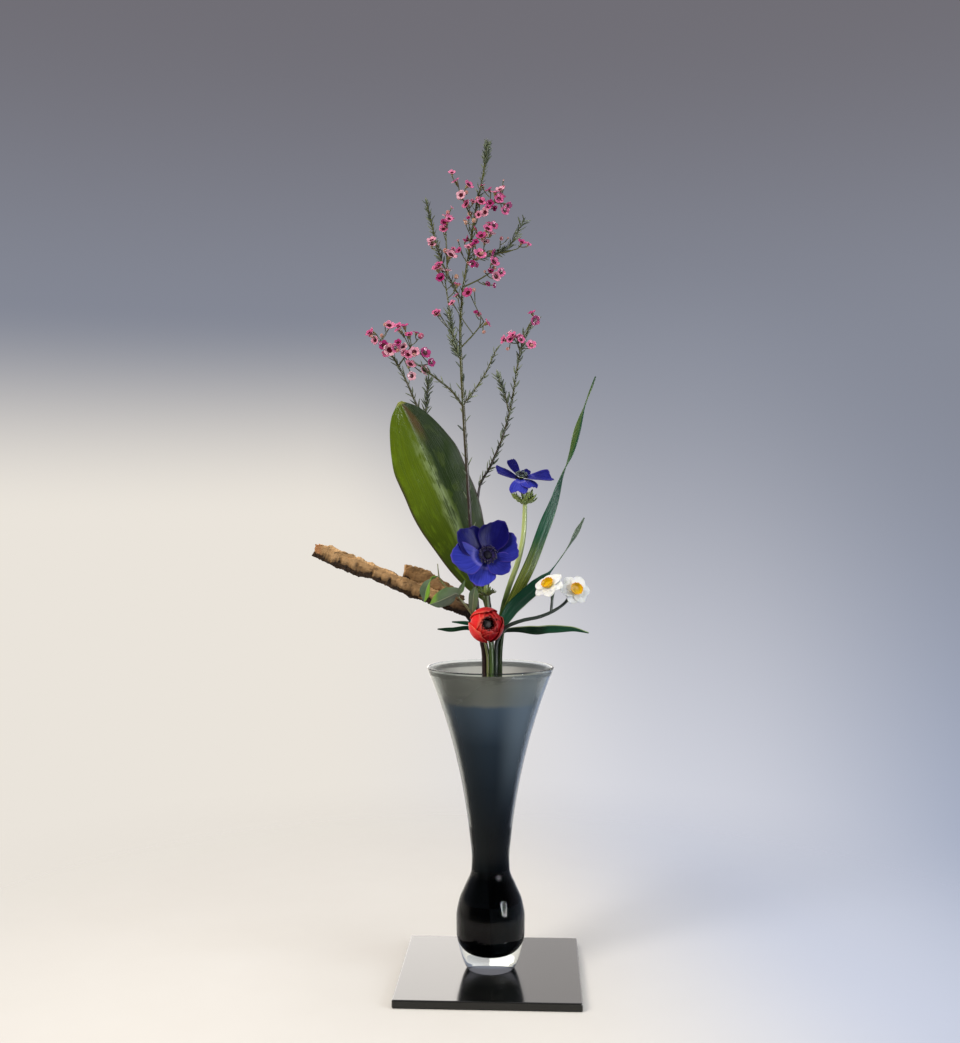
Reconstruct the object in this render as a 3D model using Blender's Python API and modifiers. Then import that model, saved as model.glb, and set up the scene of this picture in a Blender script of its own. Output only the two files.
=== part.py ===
"""Ikebana arrangement: cut flowers, leaves and a strip of bark in a flared glass vase on a lacquered board.

The model is in metres with +Z up, and the sizes below are in millimetres, brought to metres by MM.
The origin is the centre of the board's underside. The front of the arrangement faces -Y.
Every stem stands on the floor of the vase's bulb, rises straight through the neck in one packed
column, and fans out above the water. A stem's place in the column is its slot: an angle on a ring.
"""

import bmesh
import bpy
import numpy as np
from mathutils import Vector

MM = 0.001
GAP = 0.3

BOARD_SIDE = 180.0
BOARD_THICKNESS = 8.0
BOARD_EDGE = 1.2

# The vase's outside from foot to rim, and its inside from rim to floor, as (radius, height).
VASE_FOOT = BOARD_THICKNESS + GAP
VASE_OUTSIDE = [
    (23.4, VASE_FOOT), (25.6, 11.5), (31.0, 27.0), (34.6, 45.0), (34.8, 60.0), (33.2, 76.0), (25.6, 92.0),
    (19.6, 106.0), (18.7, 117.0), (20.8, 141.0), (27.9, 189.0), (39.2, 238.0), (51.7, 278.0), (64.2, 311.0),
]
VASE_RIM = (62.6, 312.8)
VASE_INSIDE = [
    (61.0, 310.6), (48.8, 278.0), (36.0, 238.0), (24.4, 189.0), (17.2, 141.0), (14.6, 117.0), (15.0, 106.0),
    (20.6, 92.0), (28.4, 76.0), (30.2, 60.0), (29.4, 45.0), (24.5, 33.5), (13.0, 26.2), (0.0, 26.0),
]
VASE_STEPS = 24
FOOT_LEVEL = 26.0 + 2 * GAP

# The packed column of stems: its axis, its two rings, and the height where the stems begin to part.
COLUMN_X = 1.5
OUTER_RING = 8.2
INNER_RING = 2.6
PARTING = 316.0

LEAF_THICKNESS = 1.2
PETAL_THICKNESS = 0.8
GOLDEN_ANGLE = np.pi * (3.0 - 5.0 ** 0.5)

PARTS = None


# ---------------------------------------------------------------- scene and materials


def clear_scene():
    """Removes every object, so that the script gives the same scene each time it runs."""
    for leftover in list(bpy.data.objects):
        bpy.data.objects.remove(leftover)


def material(name, colour, roughness, metallic=0.0, transmission=0.0):
    """A Principled BSDF of one colour."""
    made = bpy.data.materials.new(name)
    made.use_nodes = True
    shader = made.node_tree.nodes["Principled BSDF"]
    shader.inputs["Base Color"].default_value = (*colour, 1.0)
    shader.inputs["Roughness"].default_value = roughness
    shader.inputs["Metallic"].default_value = metallic
    shader.inputs["Transmission Weight"].default_value = transmission
    return made


def place(name, data, finish):
    """A new object in the arrangement's collection, wearing one material."""
    thing = bpy.data.objects.new(name, data)
    thing.data.materials.clear()
    thing.data.materials.append(finish)
    PARTS.objects.link(thing)
    return thing


# ---------------------------------------------------------------- shapes


def smooth(rows, count):
    """`count` rows on a smooth curve through the given rows, without overshoot.

    Each column is a monotone cubic of the chord length over the first three columns. Every stretch
    between two given rows gets the same share of the samples.
    """
    rows = np.array(rows, dtype=float)
    chords = np.linalg.norm(np.diff(rows[:, :3], axis=0), axis=1)
    knots = np.concatenate([[0.0], np.cumsum(chords)])
    step = chords[:, None]
    rise = np.diff(rows, axis=0) / step
    slope = np.zeros_like(rows)
    slope[0] = rise[0]
    slope[-1] = rise[-1]
    turning = rise[1:] * rise[:-1] <= 0.0
    before = np.where(turning, 1.0, rise[:-1])
    after = np.where(turning, 1.0, rise[1:])
    weight_before = 2.0 * step[1:] + step[:-1]
    weight_after = step[1:] + 2.0 * step[:-1]
    mean = (weight_before + weight_after) / (weight_before / before + weight_after / after)
    slope[1:-1] = np.where(turning, 0.0, mean)
    at = np.interp(np.linspace(0, len(rows) - 1, count), np.arange(len(rows)), knots)
    i = np.clip(np.searchsorted(knots, at, side="right") - 1, 0, len(rows) - 2)
    h = step[i]
    t = (at - knots[i])[:, None] / h
    return (
        (2 * t**3 - 3 * t**2 + 1) * rows[i]
        + (t**3 - 2 * t**2 + t) * h * slope[i]
        + (3 * t**2 - 2 * t**3) * rows[i + 1]
        + (t**3 - t**2) * h * slope[i + 1]
    )


def unit(vector):
    """The vector or vectors scaled to length 1."""
    vector = np.asarray(vector, dtype=float)
    return vector / np.linalg.norm(vector, axis=-1, keepdims=True)


def slot(angle, ring=OUTER_RING):
    """The place of a stem in the column, at an angle in degrees on a ring."""
    turn = np.radians(angle)
    return COLUMN_X + ring * np.cos(turn), ring * np.sin(turn)


def stem(name, rows, finish, count, roundness=2):
    """A tapered round stem: rows are (x, y, z, radius) along it."""
    path = smooth(rows, count)
    data = bpy.data.curves.new(name, "CURVE")
    data.dimensions = "3D"
    data.bevel_depth = MM
    data.bevel_resolution = roundness
    data.use_fill_caps = True
    spline = data.splines.new("POLY")
    spline.points.add(count - 1)
    for point, (x, y, z, radius) in zip(spline.points, path):
        point.co = (x * MM, y * MM, z * MM, 1.0)
        point.radius = radius
    return place(name, data, finish)


def rooted(angle, radius, rows, ring=OUTER_RING):
    """The rows of a stem that stands in the vase, at its slot up to where the column parts."""
    x, y = slot(angle, ring)
    return [(x, y, FOOT_LEVEL, radius), (x, y, PARTING, radius), *rows]


def settled(thing):
    """The object's evaluated shape as a plain welded mesh under the same name; the old object goes."""
    name = thing.name
    finish = thing.data.materials[0]
    graph = bpy.context.evaluated_depsgraph_get()
    mesh = bpy.data.meshes.new_from_object(thing.evaluated_get(graph))
    mesh.transform(thing.matrix_world)
    shape = bmesh.new()
    shape.from_mesh(mesh)
    bmesh.ops.remove_doubles(shape, verts=shape.verts, dist=0.002 * MM)
    shape.to_mesh(mesh)
    shape.free()
    bpy.data.objects.remove(thing)
    return place(name, mesh, finish)


def fused(name, pieces):
    """One solid from pieces that run into each other, as wood and its side shoots do."""
    pieces = [settled(piece) for piece in pieces]
    body = pieces[0]
    body.name = name
    for piece in pieces[1:]:
        union = body.modifiers.new("grown_on", "BOOLEAN")
        union.operation = "UNION"
        union.solver = "EXACT"
        union.use_self = True
        union.object = piece
    bpy.context.view_layer.update()
    body = settled(body)
    for piece in pieces[1:]:
        bpy.data.objects.remove(piece)
    return body


def sheet(name, surface, across, along, thickness, finish):
    """A leaf or petal: a grid bent to surface(u, v), then given its thickness.

    u runs from 0 to 1 along the piece and v from -1 to 1 across it; surface gives millimetres.
    """
    mesh = bpy.data.meshes.new(name)
    shape = bmesh.new()
    bmesh.ops.create_grid(shape, x_segments=across, y_segments=along, size=1.0)
    for corner in shape.verts:
        corner.co = Vector(surface(0.5 * (corner.co.y + 1.0), corner.co.x)) * MM
    shape.to_mesh(mesh)
    shape.free()
    mesh.shade_smooth()
    thing = place(name, mesh, finish)
    wall = thing.modifiers.new("thickness", "SOLIDIFY")
    wall.thickness = thickness * MM
    wall.offset = 0.0
    return thing


def blade(name, rows, finish, along, across=2, thickness=LEAF_THICKNESS):
    """A long leaf. Each row is (x, y, z, side x, side y, side z, half width, dish).

    The side vector points across the leaf, and dish curls both edges by that share of the half width.
    """
    path = smooth(rows, along + 1)
    centre = path[:, :3]
    run = unit(np.gradient(centre, axis=0))
    side = path[:, 3:6] - np.sum(path[:, 3:6] * run, axis=1, keepdims=True) * run
    side = unit(side)
    face = np.cross(run, side)

    def surface(u, v):
        i = int(round(u * along))
        half = path[i, 6]
        return centre[i] + side[i] * half * v + face[i] * path[i, 7] * half * v * v

    return sheet(name, surface, across, along, thickness, finish)


def rooted_blade(angle, half, rows):
    """The rows of a leaf that stands in the column edge on, with its width along the radius."""
    x, y = slot(angle)
    turn = np.radians(angle)
    side = (np.cos(turn), np.sin(turn), 0.0)
    foot = (x, y, FOOT_LEVEL, *side, half, 0.0)
    top = (x, y, PARTING, *side, half, 0.0)
    return [foot, top, *rows]


def turned(name, profile, finish, steps, thickness=0.0):
    """A profile of (radius, height) points, inside to outside over the top, turned about Z."""
    mesh = bpy.data.meshes.new(name)
    shape = bmesh.new()
    corners = [shape.verts.new((radius * MM, 0.0, height * MM)) for radius, height in profile]
    for first, second in zip(corners, corners[1:]):
        shape.edges.new((first, second))
    shape.to_mesh(mesh)
    shape.free()
    thing = place(name, mesh, finish)
    turn = thing.modifiers.new("turned", "SCREW")
    turn.steps = steps
    turn.render_steps = steps
    turn.use_merge_vertices = True
    turn.merge_threshold = 0.01 * MM
    turn.use_smooth_shade = True
    if thickness:
        wall = thing.modifiers.new("thickness", "SOLIDIFY")
        wall.thickness = thickness * MM
        wall.offset = 0.0
    return thing


def facing_frame(facing):
    """Two axes in the plane of a flower, level and upward, and the axis it faces along."""
    face = unit(facing)
    level = unit(np.cross((0.0, 0.0, 1.0), face))
    return level, np.cross(face, level), face


def stand(thing, centre, facing):
    """Sets a piece that was made about Z at a flower's centre, facing along `facing`."""
    thing.location = Vector(centre) * MM
    thing.rotation_euler = Vector(facing).to_track_quat("Z", "Y").to_euler()
    return thing


# ---------------------------------------------------------------- board and vase


def base_board(lacquer):
    """The square lacquered board under the vase."""
    mesh = bpy.data.meshes.new("base_board")
    shape = bmesh.new()
    bmesh.ops.create_cube(shape, size=1.0)
    bmesh.ops.scale(shape, vec=Vector((BOARD_SIDE, BOARD_SIDE, BOARD_THICKNESS)) * MM, verts=shape.verts)
    shape.to_mesh(mesh)
    shape.free()
    board = place("base_board", mesh, lacquer)
    board.location.z = 0.5 * BOARD_THICKNESS * MM
    edge = board.modifiers.new("eased_edge", "BEVEL")
    edge.width = BOARD_EDGE * MM
    edge.segments = 2


def glass_vase(glass):
    """The blown vase: solid foot, round bulb, narrow neck and flared trumpet, in one wall."""
    outside = smooth(VASE_OUTSIDE, 2 * len(VASE_OUTSIDE) - 1)[::-1]
    inside = smooth(VASE_INSIDE, 2 * len(VASE_INSIDE) - 1)[::-1]
    profile = [*map(tuple, inside), VASE_RIM, *map(tuple, outside), (0.0, VASE_FOOT)]
    turned("glass_vase", profile, glass, VASE_STEPS)


# ---------------------------------------------------------------- bark and broad leaf


def bark_branch(bark):
    """A strip of bark reaching left, a second layer on its inner half, and its end cut to a peg."""
    flat = (0.35, -0.25, 0.9)
    strip = blade("bark_strip", [
        (-176, -10, 431, *flat, 8.5, 0.30),
        (-142, -10, 418, *flat, 8.8, 0.30),
        (-107, -9, 404, *flat, 8.0, 0.25),
        (-71, -4, 388.5, *flat, 8.5, 0.20),
        (-36, 2, 374, *flat, 7.5, 0.15),
        (-22, 4, 367.5, *flat, 5.5, 0.10),
    ], bark, 15, 3, 6.0)
    layer = blade("bark_layer", [
        (-88, 1, 407.5, *flat, 9.0, 0.25),
        (-66, 2, 399, *flat, 11.0, 0.20),
        (-48, 3, 389, *flat, 10.0, 0.15),
        (-30, 4, 376, *flat, 7.0, 0.10),
    ], bark, 7, 3, 6.5)
    peg = stem("bark_peg", rooted(168, 2.3, [
        (-8.6, 4.0, 337, 2.4), (-14, 5.0, 350, 2.8), (-27, 4.0, 369, 3.2),
    ]), bark, 13)
    fused("bark_branch", [strip, layer, peg])


def aspidistra_leaf(leaf):
    """One broad leaf that leans left, on a stalk that runs into its midrib."""
    base = np.array((-6.0, 0.0, 379.0))
    lean = np.array((-0.4, 0.0, 0.917))
    outline = [
        (0, 11, 2.2), (19, 15, 13.5), (53, 20.5, 25), (92, 24.5, 33.5), (122, 26, 36.0),
        (152, 26.5, 35.5), (176, 26, 31), (196, 25, 23.5), (211, 24, 14.5), (222.5, 22.5, 2.0),
    ]
    rows = []
    for reach, depth, half in outline:
        x, _, z = base + lean * reach
        rows.append((x, depth, z, 0.917, 0.0, 0.4, half, 0.12))
    lamina = blade("aspidistra_blade", rows, leaf, 18, 6, 1.0)
    stalk = stem("aspidistra_stalk", rooted(90, 2.2, [
        (0.5, 4.8, 347, 2.2), (-3.5, 9.0, 369, 2.2), (-9.5, 13.0, 387, 2.0), (-27.5, 20.6, 428, 1.2),
    ], INNER_RING), leaf, 14)
    fused("aspidistra_leaf", [lamina, stalk])


# ---------------------------------------------------------------- wax flower


FRONT_MAIN = [
    (-9, -2, 340, 2.2), (-14, -0.5, 378, 2.1), (-18, 2, 420, 2.0), (-23, 5, 494, 1.8), (-28, 5, 578, 1.7),
    (-31, 5, 650, 1.4), (-29, 5, 688, 1.3), (-22, 5, 732, 1.2), (-16, 5, 772, 1.1), (-7, 5, 815, 1.0),
    (-3, 5, 844, 0.7),
]
FRONT_SHOOTS = {
    "fork_left": [(-28, 5, 576, 1.2), (-39, 3, 591, 1.1), (-60, -2, 608, 0.9), (-72, -5, 617, 0.7)],
    "fork_right": [(-28, 5, 578, 1.2), (-21, 8, 587, 1.1), (-5, 12, 612, 0.9), (6, 12, 636, 0.7)],
    "shoot_left": [(-29, 5, 683, 1.0), (-39, 3, 701, 1.0), (-51, 0, 727, 0.9), (-65, -2, 783, 0.7)],
    "shoot_right": [(-23, 5, 722, 1.0), (-4, 12, 731, 0.9), (14, 14, 737, 0.8), (34, 17, 768, 0.7)],
    "shoot_low": [(-30, 5, 622, 1.0), (-37, 2, 640, 0.9), (-42, 1, 672, 0.7)],
}
BACK_MAIN = [
    (0.5, 12, 348, 2.1), (-3, 19, 380, 2.0), (-8, 27, 412, 1.9), (-12, 33, 442, 1.8), (-16, 34, 470, 1.7),
]
BACK_SHOOTS = {
    "branch_left": [
        (-16, 34, 468, 1.4), (-39, 35, 499, 1.3), (-54, 36, 527, 1.3), (-66, 36, 554, 1.2), (-77, 34, 577, 1.2),
        (-89, 24, 606, 1.1), (-99, 14, 625, 1.0), (-108, 8, 638, 0.8),
    ],
    "branch_right": [
        (-16, 34, 469, 1.4), (-13, 33, 494, 1.3), (-1, 28, 517, 1.3), (12, 22, 547, 1.2), (20, 18, 576, 1.1),
        (28, 12, 622, 1.0), (32, 11, 641, 0.9), (46, 10, 668, 0.7),
    ],
    "shoot_middle": [(-70, 36, 562, 1.0), (-68, 33, 585, 0.9), (-66, 30, 606, 0.7)],
    "shoot_right": [(19, 18, 572, 1.0), (13, 12, 591, 0.9), (7, 8, 607, 0.7)],
}

# Each spray of flowers: where its twig leaves the wood, where it ends, how many flowers, how far
# they stand off the twig, and the turn of the first one in degrees.
SPRAYS = {
    "crown_left": ((-17.5, 5, 765), (-35, -2, 800), 4, 8.0, 90),
    "crown_right": ((-16, 5, 770), (12, -4, 797), 8, 9.5, 20),
    "left_high": ((-44, 2, 711), (-48, -15, 760), 7, 9.0, 140),
    "upper_right": ((-20, 5, 742), (4, -5, 765), 5, 9.0, 250),
    "middle_right": ((-23.5, 5, 720), (3, -6, 722), 5, 8.5, 330),
    "far_right": ((3.5, 13, 733.5), (16, 2, 752), 2, 6.0, 0),
    "low_right": ((-27.5, 5, 698), (6, 0, 703), 3, 7.0, 60),
    "left_middle": ((-39.3, 2.0, 659), (-42, -12, 684), 5, 8.5, 225),
    "small_right": ((-30.5, 5, 636), (-6, 6, 668), 3, 6.0, 300),
    "cluster_left_outer": ((-103, 11, 631), (-118, -4, 650), 7, 10.0, 30),
    "cluster_left_inner": ((-96, 17, 619), (-74, -4, 641), 8, 11.0, 165),
    "cluster_right": ((30, 11.5, 633), (25, 0, 654), 5, 9.0, 160),
}
CUP_FOOT = 0.9
CUP_MOUTH = 4.4
CUP_DEPTH = 5.0
TWIG_RADIUS = 0.7
WOOD_RADIUS = 1.3


def wax_flower_stem(name, angle, main, shoots, bark):
    """A woody stem with its side shoots."""
    wood = [stem(name, rooted(angle, 2.2, main), bark, 2 * len(main) + 3, 1)]
    for shoot, rows in shoots.items():
        wood.append(stem(shoot, rows, bark, 2 * len(rows) - 1, 1))
    fused(name, wood)


def cup(name, foot, direction, finish):
    """One small flower: a six-sided cone that opens along its direction."""
    mesh = bpy.data.meshes.new(name)
    shape = bmesh.new()
    bmesh.ops.create_cone(
        shape, cap_ends=True, cap_tris=False, segments=6,
        radius1=CUP_FOOT * MM, radius2=CUP_MOUTH * MM, depth=CUP_DEPTH * MM,
    )
    bmesh.ops.translate(shape, vec=(0.0, 0.0, 0.5 * CUP_DEPTH * MM), verts=shape.verts)
    shape.to_mesh(mesh)
    shape.free()
    return stand(place(name, mesh, finish), foot, direction)


def wax_flower_spray(name, base, tip, count, reach, first, finish):
    """A twig with flowers set round it by the golden angle, each on its own short stalk."""
    base = np.array(base, dtype=float)
    run = np.array(tip, dtype=float) - base
    along = unit(run)
    level = unit(np.cross(along, (0.0, 1.0, 0.3)))
    upright = np.cross(along, level)
    start = base - np.array((0.0, WOOD_RADIUS + TWIG_RADIUS + GAP, 0.0))
    end = base + run
    pieces = [stem(name, [(*start, TWIG_RADIUS), (*end, TWIG_RADIUS)], finish, 2, 0)]
    for i in range(count):
        turn = np.radians(first) + i * GOLDEN_ANGLE
        outward = level * np.cos(turn) + upright * np.sin(turn)
        direction = unit(outward + along * (0.4 + 0.6 * i / count))
        joint = start + (end - start) * (i + 0.8) / count
        foot = joint + direction * (reach - CUP_DEPTH)
        stalk_rows = [(*joint, 0.6), (*(foot + direction), 0.6)]
        pieces.append(stem(f"{name}_stalk_{i}", stalk_rows, finish, 2, 0))
        pieces.append(cup(f"{name}_cup_{i}", foot, direction, finish))
    fused(name, pieces)


# ---------------------------------------------------------------- anemones


PETAL_ROOT = 3.1
PETAL_SHORTENING = 0.14
PETAL_RIPPLE = 0.35
WHORL_SPACING = 2.0
CUPPING_REACH = 33.0
CUPPING_POWER = 1.7
RUFF_HOLE = 2.9
RUFF_REACH = 10.5
RUFF_RISE = 3.0


def petal(name, centre, facing, whorl, angle, length, spread, cupping, finish):
    """One petal about the flower's axis.

    It reaches from the receptacle to `length`, spans `spread` degrees on each side of its angle, and
    lifts along the facing axis by `cupping` where it is CUPPING_REACH long. Each whorl lies
    WHORL_SPACING behind the one before.
    """
    level, upward, face = facing_frame(facing)
    middle = np.radians(angle)
    half = np.radians(spread)

    def surface(u, v):
        radius = PETAL_ROOT + (length - PETAL_ROOT) * u * (1.0 - PETAL_SHORTENING * v * v)
        turn = middle + half * v * np.sqrt(1.0 - (0.9 * u) ** 4)
        lift = cupping * (radius / CUPPING_REACH) ** CUPPING_POWER - WHORL_SPACING * whorl
        lift += PETAL_RIPPLE * np.sin(3.0 * turn) * u
        return np.array(centre) + (level * np.cos(turn) + upward * np.sin(turn)) * radius + face * lift

    return sheet(name, surface, 4, 5, PETAL_THICKNESS, finish)


def anemone_centre(name, centre, facing, radius, finish):
    """The dark button with its ring of stamens, as one low dome on the receptacle."""
    profile = [(0.0, 7.4), (0.5 * radius, 6.9), (0.85 * radius, 5.4), (radius, 3.8), (0.7 * radius, 2.3),
               (2.3, 0.9), (0.0, 0.9)]
    stand(turned(name, profile, finish, 16), centre, facing)


def collar(name, centre, facing, finish):
    """The ruff of small divided leaves round the stem below the flower: a lobed, flared skirt."""
    profile = [(RUFF_HOLE, 0.0), (0.55 * RUFF_REACH, 0.35 * RUFF_RISE), (RUFF_REACH, RUFF_RISE)]
    ruff = settled(turned(name, profile, finish, 24, PETAL_THICKNESS))
    for corner in ruff.data.vertices:
        radius = np.hypot(corner.co.x, corner.co.y)
        share = max(0.0, (radius / MM - RUFF_HOLE - 0.5) / (RUFF_REACH - RUFF_HOLE))
        turn = np.arctan2(corner.co.y, corner.co.x)
        factor = 1.0 - 0.42 * share * (0.5 - 0.5 * np.cos(6.0 * turn))
        corner.co.x *= factor
        corner.co.y *= factor
    stand(ruff, centre, facing)


def anemone(prefix, angle, ring, foot_rows, centre, facing, petals, button, ruff, finishes):
    """An anemone: stem, ruff, petals in two whorls and the dark centre.

    The ruff is given as its centre on the stem and the way it faces.
    """
    green, ruff_green, blue, dark = finishes
    centre = np.array(centre, dtype=float)
    face = unit(facing)
    top = [(*(centre - face * 9.0), 1.9), (*(centre - face * 3.0), 2.2), (*(centre + face * 0.6), 2.3)]
    stem(f"{prefix}_stem", rooted(angle, 2.1, foot_rows + top, ring), green, len(foot_rows) + 10)
    collar(f"{prefix}_collar", *ruff, ruff_green)
    for number, (whorl, turn, length, spread, cupping) in enumerate(petals, 1):
        petal(f"{prefix}_petal_{number}", centre, facing, whorl, turn, length, spread, cupping, blue)
    anemone_centre(f"{prefix}_centre", centre, facing, button, dark)


# ---------------------------------------------------------------- ranunculus


RANUNCULUS_CENTRE = (-3.0, -32.0, 357.0)
RANUNCULUS_FACING = (0.22, -0.96, 0.18)
RANUNCULUS_RADIUS = 18.2
RANUNCULUS_ROOT = 168.0


def ranunculus_petal(name, whorl, angle, opening, finish):
    """An outer petal: a piece of a sphere that wraps the heart from the stem to near its mouth.

    Polar angles are in degrees from the way the flower faces: the root is near its back, and
    `opening` is where the lip ends.
    """
    level, upward, face = facing_frame(RANUNCULUS_FACING)
    middle = np.radians(angle)
    radius = RANUNCULUS_RADIUS - 1.7 * whorl

    def surface(u, v):
        polar = np.radians(RANUNCULUS_ROOT + (opening - RANUNCULUS_ROOT) * u * (1.0 - 0.13 * v * v))
        half = np.radians(56.0) * np.sqrt(1.0 - (0.9 * u) ** 4)
        turn = middle + half * v
        outward = level * np.cos(turn) + upward * np.sin(turn)
        return np.array(RANUNCULUS_CENTRE) + (outward * np.sin(polar) + face * np.cos(polar)) * radius

    sheet(name, surface, 4, 6, PETAL_THICKNESS, finish)


def ranunculus(green, coral, crimson):
    """A ranunculus: bent stem, six outer petals in two whorls, and the tight heart of inner petals."""
    centre = np.array(RANUNCULUS_CENTRE)
    face = unit(RANUNCULUS_FACING)
    stem("ranunculus_stem", rooted(-90, 2.1, [
        (1.0, -9.6, 330, 2.1), (-0.6, -11.0, 342, 2.0), (*(centre - face * 20.0), 1.9),
        (*(centre - face * 15.6), 2.0),
    ]), green, 13)
    for number, (whorl, angle, opening) in enumerate(
        [(0, 200, 52), (0, 320, 74), (0, 80, 66), (1, 265, 48), (1, 20, 50), (1, 140, 46)], 1
    ):
        ranunculus_petal(f"ranunculus_petal_{number}", whorl, angle, opening, coral)
    heart = [(0.0, 6.5), (4.0, 7.2), (6.2, 11.4), (9.2, 11.2), (12.6, 7.0), (14.9, 0.0), (13.0, -7.4),
             (7.5, -12.9), (0.0, -15.2)]
    stand(turned("ranunculus_heart", heart, crimson, 20), centre, face)


# ---------------------------------------------------------------- narcissus


NARCISSUS_FLOWERS = {
    "left": ((59.0, -24.0, 395.5), (-0.42, -0.60, 0.68), 16.5),
    "right": ((85.0, -14.0, 390.5), (0.30, -0.88, 0.36), 16.0),
}


def narcissus_flower(side, centre, facing, reach, white, yellow):
    """Six joined tepals as one star, and the yellow cup that stands on it."""
    centre = np.array(centre)
    star = turned(
        f"narcissus_{side}_tepals", [(0.0, 0.0), (2.0, 0.0), (0.5 * reach, 0.8), (0.8 * reach, 0.6), (reach, -0.4)],
        white, 24, PETAL_THICKNESS,
    )
    star = settled(star)
    for corner in star.data.vertices:
        share = (np.hypot(corner.co.x, corner.co.y) / MM / reach) ** 2
        turn = np.arctan2(corner.co.y, corner.co.x)
        factor = 1.0 - 0.30 * share * (0.5 - 0.5 * np.cos(6.0 * turn))
        corner.co.x *= factor
        corner.co.y *= factor
    stand(star, centre, facing)
    crown = [(0.0, 2.1), (3.4, 2.1), (4.9, 6.9), (5.9, 7.1), (4.4, 0.9), (0.0, 0.9)]
    stand(turned(f"narcissus_{side}_corona", crown, yellow, 16), centre, facing)


def narcissus(green, leaf, white, yellow):
    """One flower stalk with two flowers, and five strap leaves."""
    for side, (centre, facing, reach) in NARCISSUS_FLOWERS.items():
        narcissus_flower(side, centre, facing, reach, white, yellow)
    behind = {}
    for side, (centre, facing, _) in NARCISSUS_FLOWERS.items():
        face = unit(facing)
        behind[side] = [np.array(centre) - face * 8.0, np.array(centre) - face * 0.8]
    main = stem("narcissus_scape", rooted(-52, 2.0, [
        (9.5, -8.6, 338, 2.0), (17, -12, 353, 2.0), (32, -14, 360, 1.9), (48, -14.5, 363.5, 1.8),
        (62, -14, 369, 1.7), (74, -13, 377, 1.5), (*behind["right"][0], 1.6), (*behind["right"][1], 1.9),
    ]), green, 22)
    side_stalk = stem("narcissus_pedicel", [
        (61, -14, 368.5, 1.4), (62, -14, 380, 1.4), (*behind["left"][0], 1.5), (*behind["left"][1], 1.9),
    ], green, 8)
    fused("narcissus_scape", [main, side_stalk])
    blade("narcissus_leaf_tall", rooted_blade(22, 2.5, [
        (12.5, 5.5, 352, 0.90, 0.20, -0.30, 3.5, 0.0),
        (17.5, 7.5, 369, 0.87, 0.00, -0.50, 5.0, 0.05),
        (24.5, 9, 383, 0.88, 0.00, -0.46, 5.6, 0.08),
        (42, 11, 420, 0.92, 0.00, -0.38, 6.0, 0.10),
        (54, 14, 452, 0.94, 0.10, -0.33, 6.0, 0.10),
        (64, 16, 478, 0.85, 0.45, -0.28, 5.2, 0.05),
        (74, 19, 509, 0.20, 0.98, 0.00, 4.5, 0.0),
        (82, 20, 529, -0.60, 0.80, 0.20, 4.5, 0.0),
        (87, 21, 548, -0.90, 0.40, 0.10, 5.2, 0.05),
        (92.5, 21, 567, -0.50, 0.85, 0.10, 4.2, 0.0),
        (97, 22, 581, -0.20, 0.97, 0.00, 2.6, 0.0),
        (107, 22, 608, -0.80, 0.50, 0.20, 0.6, 0.0),
    ]), leaf, 26)
    blade("narcissus_leaf_middle", rooted_blade(0, 2.5, [
        (12.5, 0.3, 349, 0.95, 0.00, -0.30, 3.6, 0.0),
        (19.5, 1, 368, 0.75, 0.00, -0.66, 6.5, 0.05),
        (31, 1, 380, 0.70, 0.00, -0.70, 7.0, 0.10),
        (44, 2, 391.5, 0.70, 0.00, -0.70, 7.0, 0.05),
        (53, 3, 400, 0.60, 0.40, -0.65, 5.5, 0.0),
        (61, 4, 409, 0.10, 0.95, -0.20, 3.5, 0.0),
        (71, 6, 422, 0.00, 1.00, 0.00, 1.9, 0.0),
        (81, 9, 437, 0.30, 0.95, -0.10, 2.0, 0.0),
        (87, 11, 448, 0.80, 0.40, -0.40, 3.2, 0.0),
        (95, 12, 463, 0.80, 0.40, -0.40, 0.6, 0.0),
    ]), leaf, 24)
    blade("narcissus_leaf_right", rooted_blade(-22, 2.3, [
        (11.5, -4.2, 341, 0.60, -0.70, -0.30, 2.7, 0.0),
        (18, -5.6, 349.5, 0.10, -0.75, 0.60, 3.2, 0.0),
        (31, -8, 350.5, 0.00, -0.70, 0.70, 4.4, 0.05),
        (46, -12, 350.5, 0.00, -0.55, 0.83, 5.4, 0.10),
        (60, -15, 352, 0.00, -0.55, 0.83, 4.8, 0.10),
        (80, -20, 352.5, 0.00, -0.60, 0.80, 3.2, 0.05),
        (98, -25, 349, 0.00, -0.60, 0.80, 0.6, 0.0),
    ]), leaf, 18)
    blade("narcissus_leaf_left", rooted_blade(142, 2.2, [
        (-7.5, 8.0, 335, -0.60, 0.70, 0.20, 2.2, 0.0),
        (-13, 11.5, 345, -0.20, 0.60, 0.80, 2.4, 0.0),
        (-25, 13, 350, 0.00, 0.50, 0.87, 2.2, 0.0),
        (-42, 14, 348, 0.00, 0.50, 0.87, 2.3, 0.0),
        (-55, 15, 348.5, 0.00, 0.50, 0.87, 0.6, 0.0),
    ]), leaf, 14)
    blade("narcissus_leaf_short", rooted_blade(122, 2.2, [
        (-5.5, 12, 337, -0.50, 0.80, 0.20, 2.0, 0.0),
        (-12, 17, 347.5, -0.20, 0.60, 0.80, 2.2, 0.0),
        (-24, 21, 354, 0.00, 0.60, 0.80, 2.2, 0.0),
        (-41, 27, 355, 0.00, 0.60, 0.80, 0.6, 0.0),
    ]), leaf, 12)


# ---------------------------------------------------------------- eucalyptus


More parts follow.
